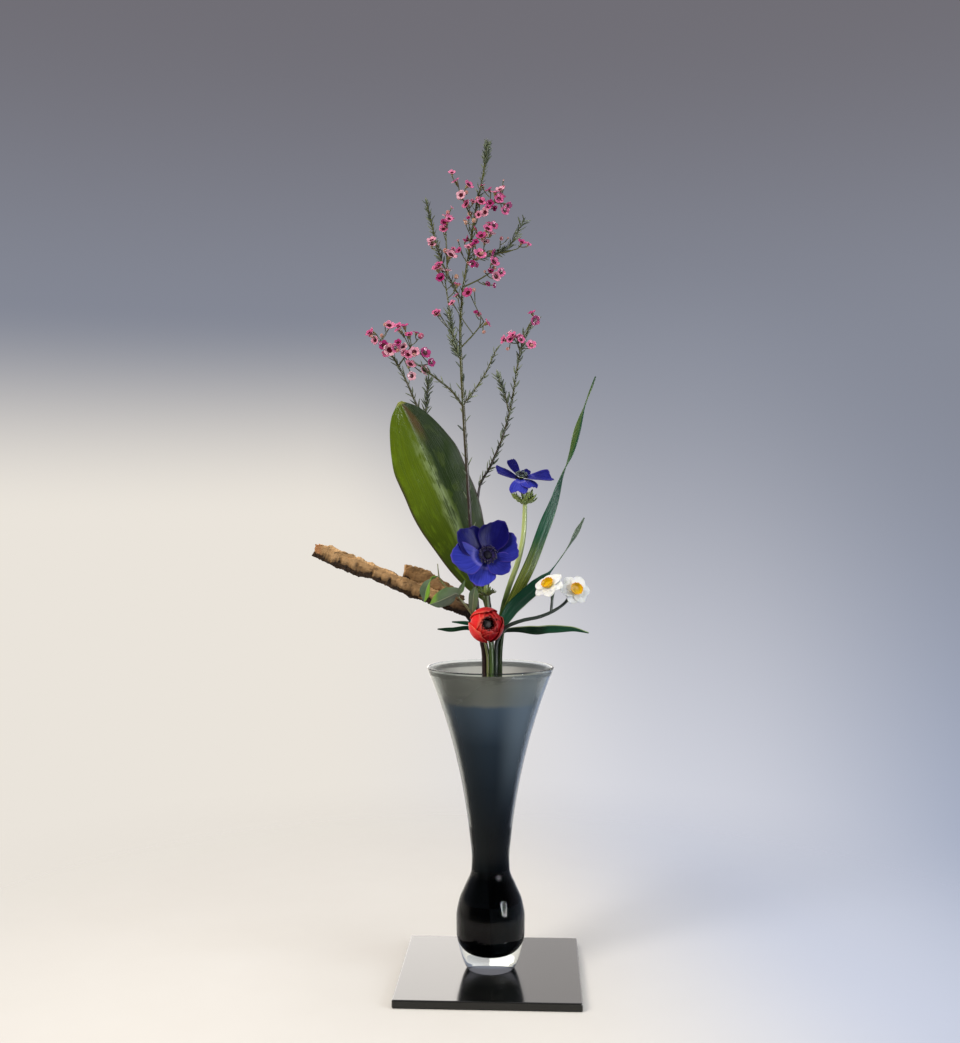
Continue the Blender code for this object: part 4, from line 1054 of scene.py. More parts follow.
for side_name, main, shoots, angle, seed in (
    ("front", FRONT_MAIN, FRONT_SHOOTS, 205, 31), ("back", BACK_MAIN, BACK_SHOOTS, 92, 32),
):
    branches = [stem(rooted(angle, 2.2, main), 260, 12, knots=0.10, seed=seed)]
    branches += [stem(rows, 60, 8, knots=0.12, seed=seed + i) for i, rows in enumerate(shoots, 1)]
    name = f"waxflower_stem_{side_name}"
    piece(name, joined(branches), wood, [name])
leaves = [
    needles(rows, start, end, int(NEEDLE_FULLNESS * count), NEEDLE_STRETCH * length, seed)
    for seed, (rows, start, end, count, length) in enumerate(NEEDLES, 300)
]
piece("waxflower_needles", joined(leaves), needle_green)

for seed, (name, (base, tip, flowers)) in enumerate(SPRAYS.items(), 400):
    rng = np.random.default_rng(seed)
    flowers = np.array(flowers, dtype=float)
    beside = flowers + rng.normal(0.0, 1.0, flowers.shape) * COMPANION_SPREAD
    budding = rng.uniform(0.0, 1.0, len(flowers)) < BUD_SHARE
    beside[:, 3] *= np.where(budding, COMPANION_SIZE * BUD_SIZE, COMPANION_SIZE)
    beside[:, 4] = np.where(budding, BUD_TONE, np.clip(beside[:, 4] % 2.0, 0.0, 1.0))
    flowers = np.concatenate([flowers, beside])
    base, tip = np.array(base, dtype=float), np.array(tip, dtype=float)
    places, width, tone = flowers[:, :3], FLOWER_STRETCH * flowers[:, 3], flowers[:, 4]
    run = tip - base
    share = np.sum((places - base) * run, axis=1) / np.sum(run**2) - 0.25
    joints = base + run * np.clip(share, 0.05, 1.0)[:, None]
    facing = unit(unit(places - joints) + rng.normal(0.0, 0.45, places.shape) + (0.0, -0.55, 0.25))
    axes = aimed(facing, rng.uniform(0.0, 6.0, len(places)), 0.5 * width)
    feet = places - facing * width[:, None] * 0.42
    half = len(flowers) // 2
    joints[half:] = joints[:half] + COMPANION_FORK * (places[:half] - joints[:half])
    middle = 0.5 * (base + tip) + (0.0, 0.0, -1.0)
    twigs = [stem([(*base, 0.9), (*middle, 0.8), (*tip, 0.6)], 12, 6, (0.1, 1.0, 0.9))]
    for joint, foot in zip(joints, feet):
        bend = 0.5 * (joint + foot) + (0.0, 0.8, -0.8)
        twigs.append(stem([(*joint, 0.55), (*bend, 0.5), (*foot, 0.6)], 9, 6, (0.31, 0.57, 0.76)))
    open_ones = tone < 2.0
    shut = ~open_ones
    spray = f"waxflower_spray_{name}"
    petals = copies(wax_petals(), places[open_ones], axes[open_ones], tone[open_ones])
    piece(f"{spray}_petals", petals, wax_pink, [spray], 0.35)
    cups = copies(wax_cup(), places[open_ones], axes[open_ones], 0.0 * tone[open_ones])
    piece(f"{spray}_cups", cups, wax_heart)
    if shut.any():
        buds = copies(bud(), places[shut], axes[shut], tone[shut])
        piece(f"{spray}_buds", buds, bud_skin, subdivide=1)
    piece(f"{spray}_twigs", joined(twigs), wood)

# ---------------------------------------------------------------- anemones
# Two blue anemones: satin petals in two whorls, a velvety dark button ringed by stamens, and a ruff of
# feathery leaves round the soft stem just below the flower. The back one is seen from the side.

PETAL_ROOT = 3.1
CUPPING_REACH = 33.0
WHORL_SPACING = 2.0
# A petal is (whorl, angle, length, spread, cupping, tone), and a ruff is (centre, way it faces, leaflets,
# length, paleness). Angles are in degrees.
# A petal's tone is painted light and shade: a high tone paints it lit, royal blue, and a low tone paints it
# in navy shade.
ANEMONES = {
    "front": dict(
        angle=-90, ring=INNER_RING,
        foot=[(0.5, -3.6, 345, 2.1), (-3, -7.0, 376, 2.1), (-4.5, -9.5, 398, 2.1)],
        centre=(-2.5, -25, 425), facing=(0.26, -0.90, 0.34), button=8.0,
        petals=[(0, 194, 41, 43, 14, 0.95), (0, 318, 26, 54, 13, 0.40), (0, 72, 32, 50, 19, 0.05),
                (1, 143, 36, 44, 15, 0.10), (1, 246, 35, 44, 9, 0.80), (1, 16, 31, 46, 18, 0.40)],
        ruff=((-3.6, -8.0, 385), (-0.1, -0.15, 0.98), 46, 11.0, 0.0),
    ),
    "back": dict(
        angle=54, ring=OUTER_RING,
        foot=[(8.5, 10, 350, 2.3), (12, 14, 370, 2.7), (19, 17, 394, 2.8), (28, 20, 420, 2.8),
              (33.5, 22, 450, 2.6), (34.5, 23, 476, 2.3)],
        centre=(31, 22, 505), facing=(0.05, -0.42, 0.90), button=5.2,
        petals=[(0, 355, 33, 34, 1, 0.3), (0, 122, 21, 26, 27, 0.0), (0, 255, 22, 42, -20, 0.95),
                (1, 172, 27, 38, 12, 0.1), (1, 70, 16, 44, 14, 0.0), (1, 305, 20, 44, -8, 0.5)],
        ruff=((33.8, 22.5, 477.5), (0.1, -0.05, 1.0), 34, 18.0, 1.9),
    ),
}


def flower_axes(facing):
    """Two axes in the plane of a flower, level and upward, and the axis it faces along."""
    face = unit(facing)
    level = unit(np.cross((0.0, 0.0, 1.0), face))
    return level, np.cross(face, level), face


def about(centre, facing, radius, turn, lift):
    """Points about a flower's axis: centre + radius * (level * cos + upward * sin of turn) + face * lift."""
    level, upward, face = flower_axes(facing)
    spokes = level * np.cos(turn)[..., None] + upward * np.sin(turn)[..., None]
    return np.array(centre) + spokes * radius[..., None] + face * lift[..., None]


def anemone_petal(centre, facing, whorl, angle, length, spread, cupping, tone, seed):
    """A petal about the flower's axis, as radius, turn and lift on a grid.

    The radius runs from the root to the length, shorter at the sides; the turn spans the spread, which
    closes in towards the tip; the lift cups with the radius, drops by whorl, dips along the middle and
    ruffles at the edge.
    """
    u, v, uv = grid(30, 27)
    rng = np.random.default_rng(seed)
    phase = rng.uniform(0.0, 6.0, 4)
    edge = 1.0 + (0.06 * np.sin(3.3 * v + phase[0]) + 0.010 * np.sin(15.0 * v + phase[1])) * u**4
    radius = PETAL_ROOT + (length - PETAL_ROOT) * u * (1.0 - 0.14 * v * v) * edge
    turn = np.radians(angle) + np.radians(spread) * v * np.sqrt(1.0 - (0.9 * u) ** 4)
    lift = cupping * (radius / CUPPING_REACH) ** 1.7 - WHORL_SPACING * whorl + 0.35 * np.sin(3.0 * turn) * u
    lift = lift - 1.1 * np.exp(-((v / 0.24) ** 2)) * u * (1.0 - 0.4 * u) + 1.8 * np.abs(v) ** 3 * u
    lift = lift + (1.0 * np.sin(4.0 * v + phase[2]) + 0.35 * np.sin(11.0 * v + phase[3])) * u**3
    lift = lift + 0.06 * length * np.sin(2.6 * v + 3.4 * u + phase[1]) * u * u
    return sheet(about(centre, facing, radius, turn, lift), uv, tone)


def dome(centre, facing, radius, height, floor_level, bumps):
    """A low dome of rings about the flower's axis, pimpled by crossing waves, closed underneath."""
    polar = np.radians(np.linspace(150.0, 6.0, 26))[:, None]
    turn = turns(60)
    pimples = np.cos(15.0 * turn + 9.0 * polar) * np.cos(15.0 * turn - 9.0 * polar)
    swell = 1.0 + bumps * pimples * np.sin(polar)
    out = radius * np.sin(polar) * swell
    rise = floor_level + height * (np.cos(polar) * swell + 1.0) * 0.5
    tips = np.array(centre) + unit(facing) * np.array((rise[0, 0], floor_level + height))[:, None]
    return closed(about(centre, facing, out, turn, rise), tips)


def stamen():
    """A stamen 1 long along z: a thread of three sides that ends in an oval anther."""
    share = np.array((0.0, 0.45, 0.76, 0.80, 0.90, 0.98))[:, None]
    girth = np.array((0.030, 0.026, 0.030, 0.085, 0.110, 0.070))[:, None]
    turn = turns(5)
    rings = np.stack([girth * np.cos(turn), girth * np.sin(turn), share + 0.0 * turn], axis=-1)
    return closed(rings, [(0.0, 0.0, -0.02), (0.0, 0.0, 1.01)], share + 0.0 * turn)


def stamens(centre, facing, inner, length, count, seed):
    """Stamens round the button: each starts near its rim and leans outward and up at its own angle."""
    rng = np.random.default_rng(seed)
    level, upward, face = flower_axes(facing)
    turn = GOLDEN_ANGLE * np.arange(count)
    spokes = level * np.cos(turn)[:, None] + upward * np.sin(turn)[:, None]
    feet = np.array(centre) + spokes * (inner * rng.uniform(0.8, 1.1, (count, 1))) + face * 1.6
    lean = spokes * rng.uniform(0.5, 1.5, (count, 1)) + face * rng.uniform(0.5, 1.0, (count, 1))
    lean = lean + rng.normal(0.0, 0.12, lean.shape)
    sizes = length * rng.uniform(0.7, 1.1, count)
    return copies(stamen(), feet, aimed(lean, rng.uniform(0.0, 6.0, count), sizes), 0.0 * sizes)


def ruff_leaflet(seed):
    """A divided leaflet 1 long along z: a narrow sheet whose edge swings out into side teeth."""
    u, v, uv = grid(15, 5)
    teeth = 0.55 + 0.45 * np.sin(np.pi * (5.0 * u + seed)) ** 2
    half = 0.16 * np.sin(np.pi * (0.08 + 0.9 * u)) ** 0.8 * teeth
    lift = 0.30 * u * u + 0.05 * np.sin(9.0 * u + seed) + 0.9 * half * np.abs(v)
    return sheet(np.stack([half * v, lift, u], axis=-1), uv)


def ruff(centre, facing, count, length, pale, seed):
    """Leaflets round the stem: they fan out from it, at slants and sizes of their own, in three bunches."""
    rng = np.random.default_rng(seed)
    level, upward, face = flower_axes(facing)
    turn = turns(count) + rng.normal(0.0, 0.08, count)
    spokes = level * np.cos(turn)[:, None] + upward * np.sin(turn)[:, None]
    bunch = 0.72 + 0.28 * np.cos(3.0 * turn)
    lean = spokes + face * rng.uniform(0.05, 0.75, (count, 1))
    z = unit(lean)
    x = unit(np.cross(face, z))
    sizes = length * bunch * rng.uniform(0.8, 1.1, count)
    axes = np.stack([x, np.cross(z, x), z], axis=-1) * sizes[:, None, None]
    tones = pale + rng.uniform(0.0, 1.0, count)
    return copies(ruff_leaflet(seed), np.array(centre) + spokes * 2.2, axes, tones)


petal_blue = Finish("anemone_blue")
along, side = petal_blue.across()
spot = petal_blue.place()
vein = petal_blue.noise(petal_blue.over(along * 1.6, side * 26.0, petal_blue.tone() * 9.0), 1.0, 3.0)
cloud = petal_blue.noise(spot, 55.0, 3.0)
tone = petal_blue.tone()
edge = (side - 0.5).size().between(0.44, 0.50) + along.between(0.95, 1.0)
navy = petal_blue.mix(vein, shade(5, 2, 62), shade(20, 16, 112))
royal = petal_blue.mix(vein, shade(26, 30, 132), shade(72, 80, 204))
# The tone paints each petal lit or in shade: lit ones royal blue with more of the pale edge and halo, shaded
# ones navy.
blue = petal_blue.mix((cloud * 0.5 + tone * 0.8 - 0.1).between(0.10, 0.80), navy, royal)
blue = petal_blue.mix(edge * (0.10 + tone * 0.25), blue, shade(130, 98, 205))
blue = petal_blue.mix(along.between(0.22, 0.08), blue, shade(8, 5, 30))
halo = along.between(0.24, 0.30) * along.between(0.42, 0.30) * cloud.between(0.4, 0.6)
petal_blue.paint({
    "Base Color": petal_blue.mix(halo * 0.35 * tone, blue, shade(170, 160, 230)),
    "Roughness": 0.60 - vein * 0.2,
    "Normal": petal_blue.relief(vein * 0.8 + cloud * 0.4, 0.5),
    "Specular IOR Level": 0.12,
})
dark_velvet = Finish("anemone_dark")
speck = dark_velvet.noise(dark_velvet.place(), 700.0, 3.0)
dark_velvet.paint({
    "Base Color": dark_velvet.mix(speck, shade(3, 3, 8), shade(22, 16, 42)),
    "Roughness": speck * 0.3 + 0.6,
    "Normal": dark_velvet.relief(speck, 0.3),
    "Specular IOR Level": 0.2,
})
anther_skin = Finish("anemone_stamens")
speck = anther_skin.noise(anther_skin.place(), 800.0, 2.0)
anther = anther_skin.mix(speck, shade(14, 11, 28), shade(64, 52, 96))
anther_skin.paint({
    "Base Color": anther_skin.mix(anther_skin.tone().between(0.5, 0.8), shade(78, 66, 132), anther),
    "Roughness": speck * 0.3 + 0.45,
})
grey_anther = Finish("anemone_grey_stamens")
speck = grey_anther.noise(grey_anther.place(), 800.0, 2.0)
grey_anther.paint({
    "Base Color": grey_anther.mix(speck, shade(52, 66, 72), shade(128, 140, 132)),
    "Roughness": speck * 0.3 + 0.45,
})
ruff_green = Finish("anemone_ruff_green")
along, _ = ruff_green.across()
speck = ruff_green.noise(ruff_green.place(), 260.0, 3.0)
leafy = speck * 0.5 + ruff_green.tone() * 0.35 + along * 0.15
ruff_green.paint({
    "Base Color": ruff_green.mix(leafy, shade(30, 44, 16), shade(134, 152, 76)),
    "Roughness": speck * 0.25 + 0.45,
    "Normal": ruff_green.relief(speck, 0.3),
})
soft_green = stalk_finish("flower_stem_green", (34, 60, 30), (96, 124, 52), (204, 218, 138), (0.366, 0.42))
for seed, (name, flower) in enumerate(ANEMONES.items(), 500):
    centre, facing = np.array(flower["centre"], dtype=float), flower["facing"]
    face = unit(facing)
    prefix = f"anemone_{name}"
    for number, petal in enumerate(flower["petals"], 1):
        node = f"{prefix}_petal_{number}"
        shape = anemone_petal(centre, facing, *petal, seed * 10 + number)
        piece(node, shape, petal_blue, [node], 0.45)
    button = flower["button"]
    knob = dome(centre, facing, 0.52 * button, 5.2, 0.0, 0.07)
    piece(f"{prefix}_button", knob, dark_velvet, [f"{prefix}_centre"])
    ring = stamens(centre, facing, 0.50 * button, 0.85 * button, 150, seed)
    piece(f"{prefix}_stamens", ring, anther_skin if name == "front" else grey_anther)
    leaflets = ruff(*flower["ruff"], seed)
    piece(f"{prefix}_ruff", leaflets, ruff_green, [f"{prefix}_collar"], 0.3)
    top = [(*(centre - face * 9.0), 1.9), (*(centre - face * 3.0), 2.2), (*(centre + face * 0.6), 2.3)]
    rows = rooted(flower["angle"], 2.1, flower["foot"] + top, flower["ring"])
    stalk = stem(rows, 120, 14, (1.0, 0.0, 0.0), 0.03, seed)
    piece(f"{prefix}_stem", stalk, soft_green, [f"{prefix}_stem"])

# ---------------------------------------------------------------- ranunculus
# One tight double flower at the mouth of the vase, painted coral where the light falls and crimson as shade
# on its right and in its folds.
# Six outer petals wrap it, and thin petals are packed inside each other down to a dark hollow.

RANUNCULUS_CENTRE = (-3.0, -32.0, 357.0)
RANUNCULUS_FACING = (0.22, -0.96, 0.18)
RANUNCULUS_RADIUS = 17.4
RANUNCULUS_ROOT = 168.0


def ranunculus_petal(radius, angle, opening, half_turn, frill, seed):
    """A petal as a piece of a sphere: the polar angle runs from the root to the opening.

    It spans `half_turn` degrees on each side, closing in towards the lip, which rolls outward a little and
    is frilled.
    """
    u, v, uv = grid(22, 25)
    phase = np.random.default_rng(seed).uniform(0.0, 6.0, 3)
    polar = np.radians(RANUNCULUS_ROOT + (opening - RANUNCULUS_ROOT) * u * (1.0 - 0.13 * v * v))
    turn = np.radians(angle) + np.radians(half_turn) * v * np.sqrt(1.0 - (0.9 * u) ** 4)
    frills = np.sin(5.0 * v + phase[0]) + 0.6 * np.sin(11.0 * v + phase[1])
    out = radius + 0.5 * u**8 + frill * u**6 * frills
    polar = polar + 0.03 * u**4 * np.sin(6.0 * v + phase[2])
    width, lift = np.sin(polar) * out, np.cos(polar) * out
    return sheet(about(RANUNCULUS_CENTRE, RANUNCULUS_FACING, width, turn, lift), uv)


coral = Finish("ranunculus_coral")
along, side = coral.across()
spot = coral.place()
depth = coral.tone()
vein = coral.noise(coral.over(along * 1.5, side * 24.0, depth * 7.0), 1.0, 3.0)
x, _, z = coral.axes(spot)
# Painted light and shade: the left side is painted lit coral and the right side crimson.
painted_lit_side = (x * -1.0 - 0.003 + (coral.noise(spot, 60.0) - 0.5) * 0.012).between(-0.006, 0.012)
crimson = coral.mix(vein, shade(140, 2, 16), shade(208, 20, 34))
outer = coral.mix(painted_lit_side, crimson, coral.mix(vein, shade(236, 18, 30), shade(255, 70, 66)))
# Deeper folds are painted darker red as shade.
inner = coral.mix(vein, shade(66, 2, 10), shade(128, 8, 16))
red = coral.mix(depth.between(0.25, 0.8), outer, inner)
# The lips carry a painted highlight, stronger on the lit side and faint deep inside.
lip = along.between(0.88, 1.0) + (side - 0.5).size().between(0.44, 0.50) * 0.7
red = coral.mix(lip * (1.0 - depth * 0.8) * (painted_lit_side * 0.45 + 0.12), red, shade(255, 140, 112))
# The pale base tint is the petals' own, but it is painted only on the lit lower part.
lit_base_tint = along.between(0.42, 0.12) * painted_lit_side
coral.paint({
    "Base Color": coral.mix(lit_base_tint * z.between(0.352, 0.340) * 0.7, red, shade(206, 190, 120)),
    "Roughness": 0.50 - vein * 0.15,
    "Normal": coral.relief(vein, 0.25),
    "Specular IOR Level": 0.2,
})
dark_heart = Finish("ranunculus_dark")
speck = dark_heart.noise(dark_heart.place(), 600.0, 3.0)
dark_heart.paint({
    "Base Color": dark_heart.mix(speck, shade(12, 6, 4), shade(58, 26, 16)),
    "Roughness": speck * 0.3 + 0.5,
    "Normal": dark_heart.relief(speck, 0.4),
})
# The outer petals as (whorl, angle, opening), then the thin ones packed inside them.
OUTER_PETALS = [(0, 222, 44), (0, 338, 50), (0, 100, 40), (1, 166, 29), (1, 285, 34), (1, 40, 36)]
for number, (whorl, angle, opening) in enumerate(OUTER_PETALS, 1):
    name = f"ranunculus_petal_{number}"
    shape = ranunculus_petal(RANUNCULUS_RADIUS - 1.7 * whorl, angle, opening, 56.0, 0.18, 600 + number)
    piece(name, shape, coral, [name], 0.45)
FOLDS = 26
FOLD_TURN = 137.5
folds = []
for number in range(FOLDS):
    inward = number / (FOLDS - 1)
    radius, opening, half_turn = 15.4 - 4.6 * inward, 28.0 - 3.0 * inward, 62.0 - 10.0 * inward
    shape = ranunculus_petal(radius, FOLD_TURN * number, opening, half_turn, 0.12, 620 + number)
    shape.tone = np.full(len(shape.points), 0.15 + 0.85 * inward)
    folds.append(shape)
piece("ranunculus_folds", joined(folds), coral, ["ranunculus_heart"], 0.25)
heart = dome(RANUNCULUS_CENTRE, RANUNCULUS_FACING, 5.2, 8.0, 1.0, 0.10)
piece("ranunculus_heart", heart, dark_heart)
centre, face = np.array(RANUNCULUS_CENTRE), unit(RANUNCULUS_FACING)
rows = rooted(-90, 2.1, [
    (1.0, -9.6, 330, 2.1), (-0.6, -11.0, 342, 2.0),
    (*(centre - face * 20.0), 1.9), (*(centre - face * 15.6), 2.0),
])
stalk = stem(rows, 110, 14, (1.0, 0.0, 0.0), 0.03, 3)
piece("ranunculus_stem", stalk, soft_green, ["ranunculus_stem"])

# ---------------------------------------------------------------- narcissus
# Two small flowers on one forked stalk, each six white tepals behind a frilled yellow cup. Five strap
# leaves, ribbed lengthwise and bloomed blue-green, fan out from the neck.

NARCISSUS_FLOWERS = {
    "left": ((59.0, -24.0, 395.5), (-0.42, -0.60, 0.68), 16.5),
    "right": ((85.0, -14.0, 390.5), (0.30, -0.88, 0.36), 16.0),
}


def tepals(centre, facing, reach, seed):
    """Six pointed tepals, three in front of three.

    A point at (u, v) lies 2 + (reach - 2) u from the axis, turned by v times a spread that swells and then
    closes to the tip; the lift makes a shallow trough, with the back three lower.
    """
    rng = np.random.default_rng(seed)
    u, v, uv = grid(18, 13)
    petals = []
    for number in range(6):
        length = reach * rng.uniform(0.94, 1.0)
        radius = 2.0 + (length - 2.0) * u
        half = 9.0 * np.sin(np.pi * np.clip(0.14 + 0.86 * u, 0.0, 1.0) ** 0.9) ** 0.62
        turn = np.radians(60.0 * number + rng.normal(0.0, 2.0)) + np.arctan2(half * v, radius)
        droop = 1.6 * u * u * rng.uniform(0.4, 1.2)
        lift = 0.9 + 0.6 * (number % 2) - droop + 0.9 * v * v * np.sin(np.pi * u)
        lift = lift + 0.3 * np.sin(8.0 * u + 5.0 * v + number) * u
        points = about(centre, facing, np.hypot(radius, half * v * 0.7), turn, lift)
        petals.append(sheet(points, uv, tone=rng.uniform(0.0, 1.0)))
    return joined(petals)


def corona(centre, facing):
    """The cup: a floor out to 4.4, then a wall that flares to 6.1 over 4 of height, frilled at its lip."""
    u, turn = np.meshgrid(np.linspace(0.0, 1.0, 16), np.linspace(0.0, 2.0 * np.pi, 97), indexing="ij")
    frill = (np.sin(12.0 * turn) + 0.5 * np.sin(19.0 * turn + 1.0)) * u**3
    radius = 0.05 + np.interp(u, (0.0, 0.4, 1.0), (0.0, 4.4, 6.1)) + 0.3 * frill
    lift = 1.4 + np.interp(u, (0.0, 0.4, 1.0), (0.0, 0.5, 4.4)) + 0.25 * np.sin(7.0 * turn) * u**3
    points = about(centre, facing, radius, turn, lift)
    return sheet(points, np.stack([u, turn / (2.0 * np.pi)], axis=-1))


satin_white = Finish("narcissus_white")
along, side = satin_white.across()
vein = satin_white.noise(satin_white.over(along * 2.0, side * 24.0, satin_white.tone() * 9.0), 1.0, 2.0)
white = satin_white.mix(vein, shade(232, 234, 232), shade(254, 254, 250))
white = satin_white.mix(along.between(0.30, 0.05) * 0.5, white, shade(214, 220, 170))
satin_white.paint({
    "Base Color": white,
    "Roughness": 0.55 - vein * 0.15,
    "Normal": satin_white.relief(vein, 0.25),
    "Subsurface Weight": 0.15,
    "Subsurface Radius": (0.002, 0.002, 0.001),
})
cup_yellow = Finish("narcissus_yellow")
along, side = cup_yellow.across()
rib = cup_yellow.noise(cup_yellow.over(along * 1.5, side * 60.0), 1.0, 2.0)
yellow = cup_yellow.mix(rib, shade(222, 176, 0), shade(250, 214, 8))
cup_yellow.paint({
    "Base Color": cup_yellow.mix(along.between(0.88, 1.0) * 0.8, yellow, shade(240, 132, 10)),
    "Roughness": 0.55 - rib * 0.15,
    "Normal": cup_yellow.relief(rib, 0.3),
})
scape_skin = stalk_finish("narcissus_scape_green", (14, 22, 18), (56, 70, 60), (96, 110, 92), (0.372, 0.384))
strap = Finish("narcissus_leaf_green")
along, side = strap.across()
spot = strap.place()
x, _, z = strap.axes(spot)
rib = strap.noise(strap.over(along * 3.0, side * 22.0), 1.0, 2.0)
bloom = strap.noise(spot, 46.0, 3.0)
blue_green = strap.mix(rib, shade(0, 44, 28), shade(22, 100, 66))
which = strap.tone()
stripe = strap.mix(rib.between(0.42, 0.58), shade(46, 78, 20), shade(186, 198, 84))
striped = which.between(0.8, 1.0) * (z + (rib - 0.5) * 0.03).between(0.450, 0.395)
green = strap.mix(striped, blue_green, stripe)
shaded = which.between(0.2, 0.4) * which.between(0.8, 0.6) * x.between(0.060, 0.050)
green = strap.mix(shaded * 0.85, green, strap.mix(rib, shade(6, 26, 16), shade(18, 54, 34)))
green = strap.mix(bloom.between(0.5, 0.75) * 0.10, green, shade(102, 142, 118))
green = strap.mix(which.between(0.2, 0.0) * z.between(0.412, 0.430) * 0.8, green, shade(104, 118, 96))
green = strap.mix(z.between(0.49, 0.53) * rib.between(0.45, 0.6) * 0.6, green, shade(124, 134, 56))
green = strap.mix(side.between(0.93, 1.0) * 0.55, green, shade(186, 204, 150))
green = strap.mix(z.between(0.352, 0.330), green, strap.mix(rib, shade(20, 44, 24), shade(84, 104, 48)))
strap.paint({
    "Base Color": green,
    "Roughness": 0.36 + bloom * 0.2,
    "Normal": strap.relief(rib * 0.8 + bloom * 0.2, 0.4),
    "Specular IOR Level": 0.3,
})
for seed, (name, (centre, facing, reach)) in enumerate(NARCISSUS_FLOWERS.items(), 700):
    prefix = f"narcissus_{name}"
    star = tepals(centre, facing, reach, seed)
    piece(f"{prefix}_tepals", star, satin_white, [f"{prefix}_tepals"], 0.4)
    cup = corona(centre, facing)
    piece(f"{prefix}_cup", cup, cup_yellow, [f"{prefix}_corona"], 0.4)
    threads = stamens(np.array(centre) + unit(facing) * 0.6, facing, 0.8, 2.6, 6, seed)
    piece(f"{prefix}_stamens", threads, cup_yellow)


def ovary(name, girth):
    """The last rows of a stalk: it swells to `girth` behind the flower and closes in to 1.4 at its back."""
    centre, facing, _ = NARCISSUS_FLOWERS[name]
    low, high = np.array(centre) - unit(facing) * 8.0, np.array(centre) - unit(facing) * 0.8
    return [(*low, girth), (*(0.5 * (low + high)), girth - 0.1), (*high, 1.4)]


main = stem(rooted(-59, 2.0, [
    (5.9, -9.0, 333, 2.0), (14.0, -12, 351.5, 2.0), (32, -14, 360, 1.9), (48, -14.5, 363.5, 1.8),
    (62, -14, 369, 1.7), (74, -13, 377, 1.5), *ovary("right", 2.4),
]), 190, 14, (0.3, 1.0, -0.2), 0.05, 8)
side_rows = [(61, -14, 368.5, 1.4), (62, -14, 380, 1.4), *ovary("left", 2.3)]
side_stalk = stem(side_rows, 60, 14, (1.0, 0.2, 0.0), 0.05, 9)
piece("narcissus_scape", joined([main, side_stalk]), scape_skin, ["narcissus_scape"])

# The leaves stand on a ring of their own in the column.
BLADE_RING = 7.0


def rooted_blade(angle, half, rows):
    """The rows of a leaf that stands in the column edge on, with its width along the radius."""
    x, y = slot(angle, BLADE_RING)
    turn = np.radians(angle)
    edge_on = (np.cos(turn), np.sin(turn), 0.0, half, 0.0)
    return [(x, y, FOOT_LEVEL, *edge_on), (x, y, PARTING, *edge_on), *rows]


# Each leaf's rows, as (x, y, z, side x, side y, side z, half width, dish), and how many samples it gets.
STRAP_LEAVES = {
    "tall": (rooted_blade(22, 3.2, [
        (10.6, 5.3, 350, 0.90, 0.20, -0.30, 3.2, 0.0), (17.5, 7.5, 369, 0.87, 0.00, -0.50, 5.0, 0.05),
        (24.5, 9, 383, 0.88, 0.00, -0.46, 5.6, 0.08), (42, 11, 420, 0.92, 0.00, -0.38, 6.0, 0.10),
        (54, 14, 452, 0.94, 0.10, -0.33, 6.0, 0.10), (64, 16, 478, 0.85, 0.45, -0.28, 5.2, 0.05),
        (74, 19, 509, 0.20, 0.98, 0.00, 3.6, 0.0), (82, 20, 529, -0.60, 0.80, 0.20, 3.2, 0.0),
        (87, 21, 548, -0.90, 0.40, 0.10, 3.7, 0.05), (92.5, 21, 567, -0.50, 0.85, 0.10, 3.2, 0.0),
        (97, 22, 581, -0.20, 0.97, 0.00, 2.2, 0.0), (107, 22, 608, -0.80, 0.50, 0.20, 0.5, 0.0),
    ]), 260),
    "middle": (rooted_blade(0, 3.2, [
        (10.8, 0.3, 348, 0.95, 0.00, -0.30, 3.4, 0.0), (19.5, 1, 368, 0.75, 0.00, -0.66, 6.5, 0.05),
        (31, 1, 380, 0.70, 0.00, -0.70, 7.0, 0.10), (44, 2, 391.5, 0.70, 0.00, -0.70, 7.0, 0.05),
        (53, 3, 400, 0.60, 0.40, -0.65, 5.5, 0.0), (61, 4, 409, 0.10, 0.95, -0.20, 3.5, 0.0),
        (71, 6, 422, 0.00, 1.00, 0.00, 1.9, 0.0), (81, 9, 437, 0.30, 0.95, -0.10, 2.0, 0.0),
        (87, 11, 448, 0.80, 0.40, -0.40, 2.5, 0.0), (95, 12, 463, 0.80, 0.40, -0.40, 0.5, 0.0),
    ]), 220),
    "right": (rooted_blade(-22, 2.3, [
        (9.6, -4.2, 339, 0.60, -0.70, -0.30, 2.7, 0.0), (18, -5.6, 349.5, 0.10, -0.75, 0.60, 3.2, 0.0),
        (31, -8, 350.5, 0.00, -0.70, 0.70, 4.4, 0.05), (46, -12, 350.5, 0.00, -0.55, 0.83, 5.4, 0.10),
        (60, -15, 352, 0.00, -0.55, 0.83, 4.8, 0.10), (80, -20, 352.5, 0.00, -0.60, 0.80, 3.2, 0.05),
        (98, -25, 349, 0.00, -0.60, 0.80, 0.5, 0.0),
    ]), 170),
    "left": (rooted_blade(142, 2.2, [
        (-7.5, 8.0, 335, -0.60, 0.70, 0.20, 2.2, 0.0), (-13, 11.5, 345, -0.20, 0.60, 0.80, 2.4, 0.0),
        (-25, 13, 350, 0.00, 0.50, 0.87, 2.2, 0.0), (-42, 14, 348, 0.00, 0.50, 0.87, 2.3, 0.0),
        (-55, 15, 348.5, 0.00, 0.50, 0.87, 0.5, 0.0),
    ]), 140),
    "short": (rooted_blade(122, 2.2, [
        (-5.5, 12, 337, -0.50, 0.80, 0.20, 2.0, 0.0), (-12, 17, 347.5, -0.20, 0.60, 0.80, 2.2, 0.0),
        (-24, 21, 354, 0.00, 0.60, 0.80, 2.2, 0.0), (-41, 27, 355, 0.00, 0.60, 0.80, 0.5, 0.0),
    ]), 120),
}
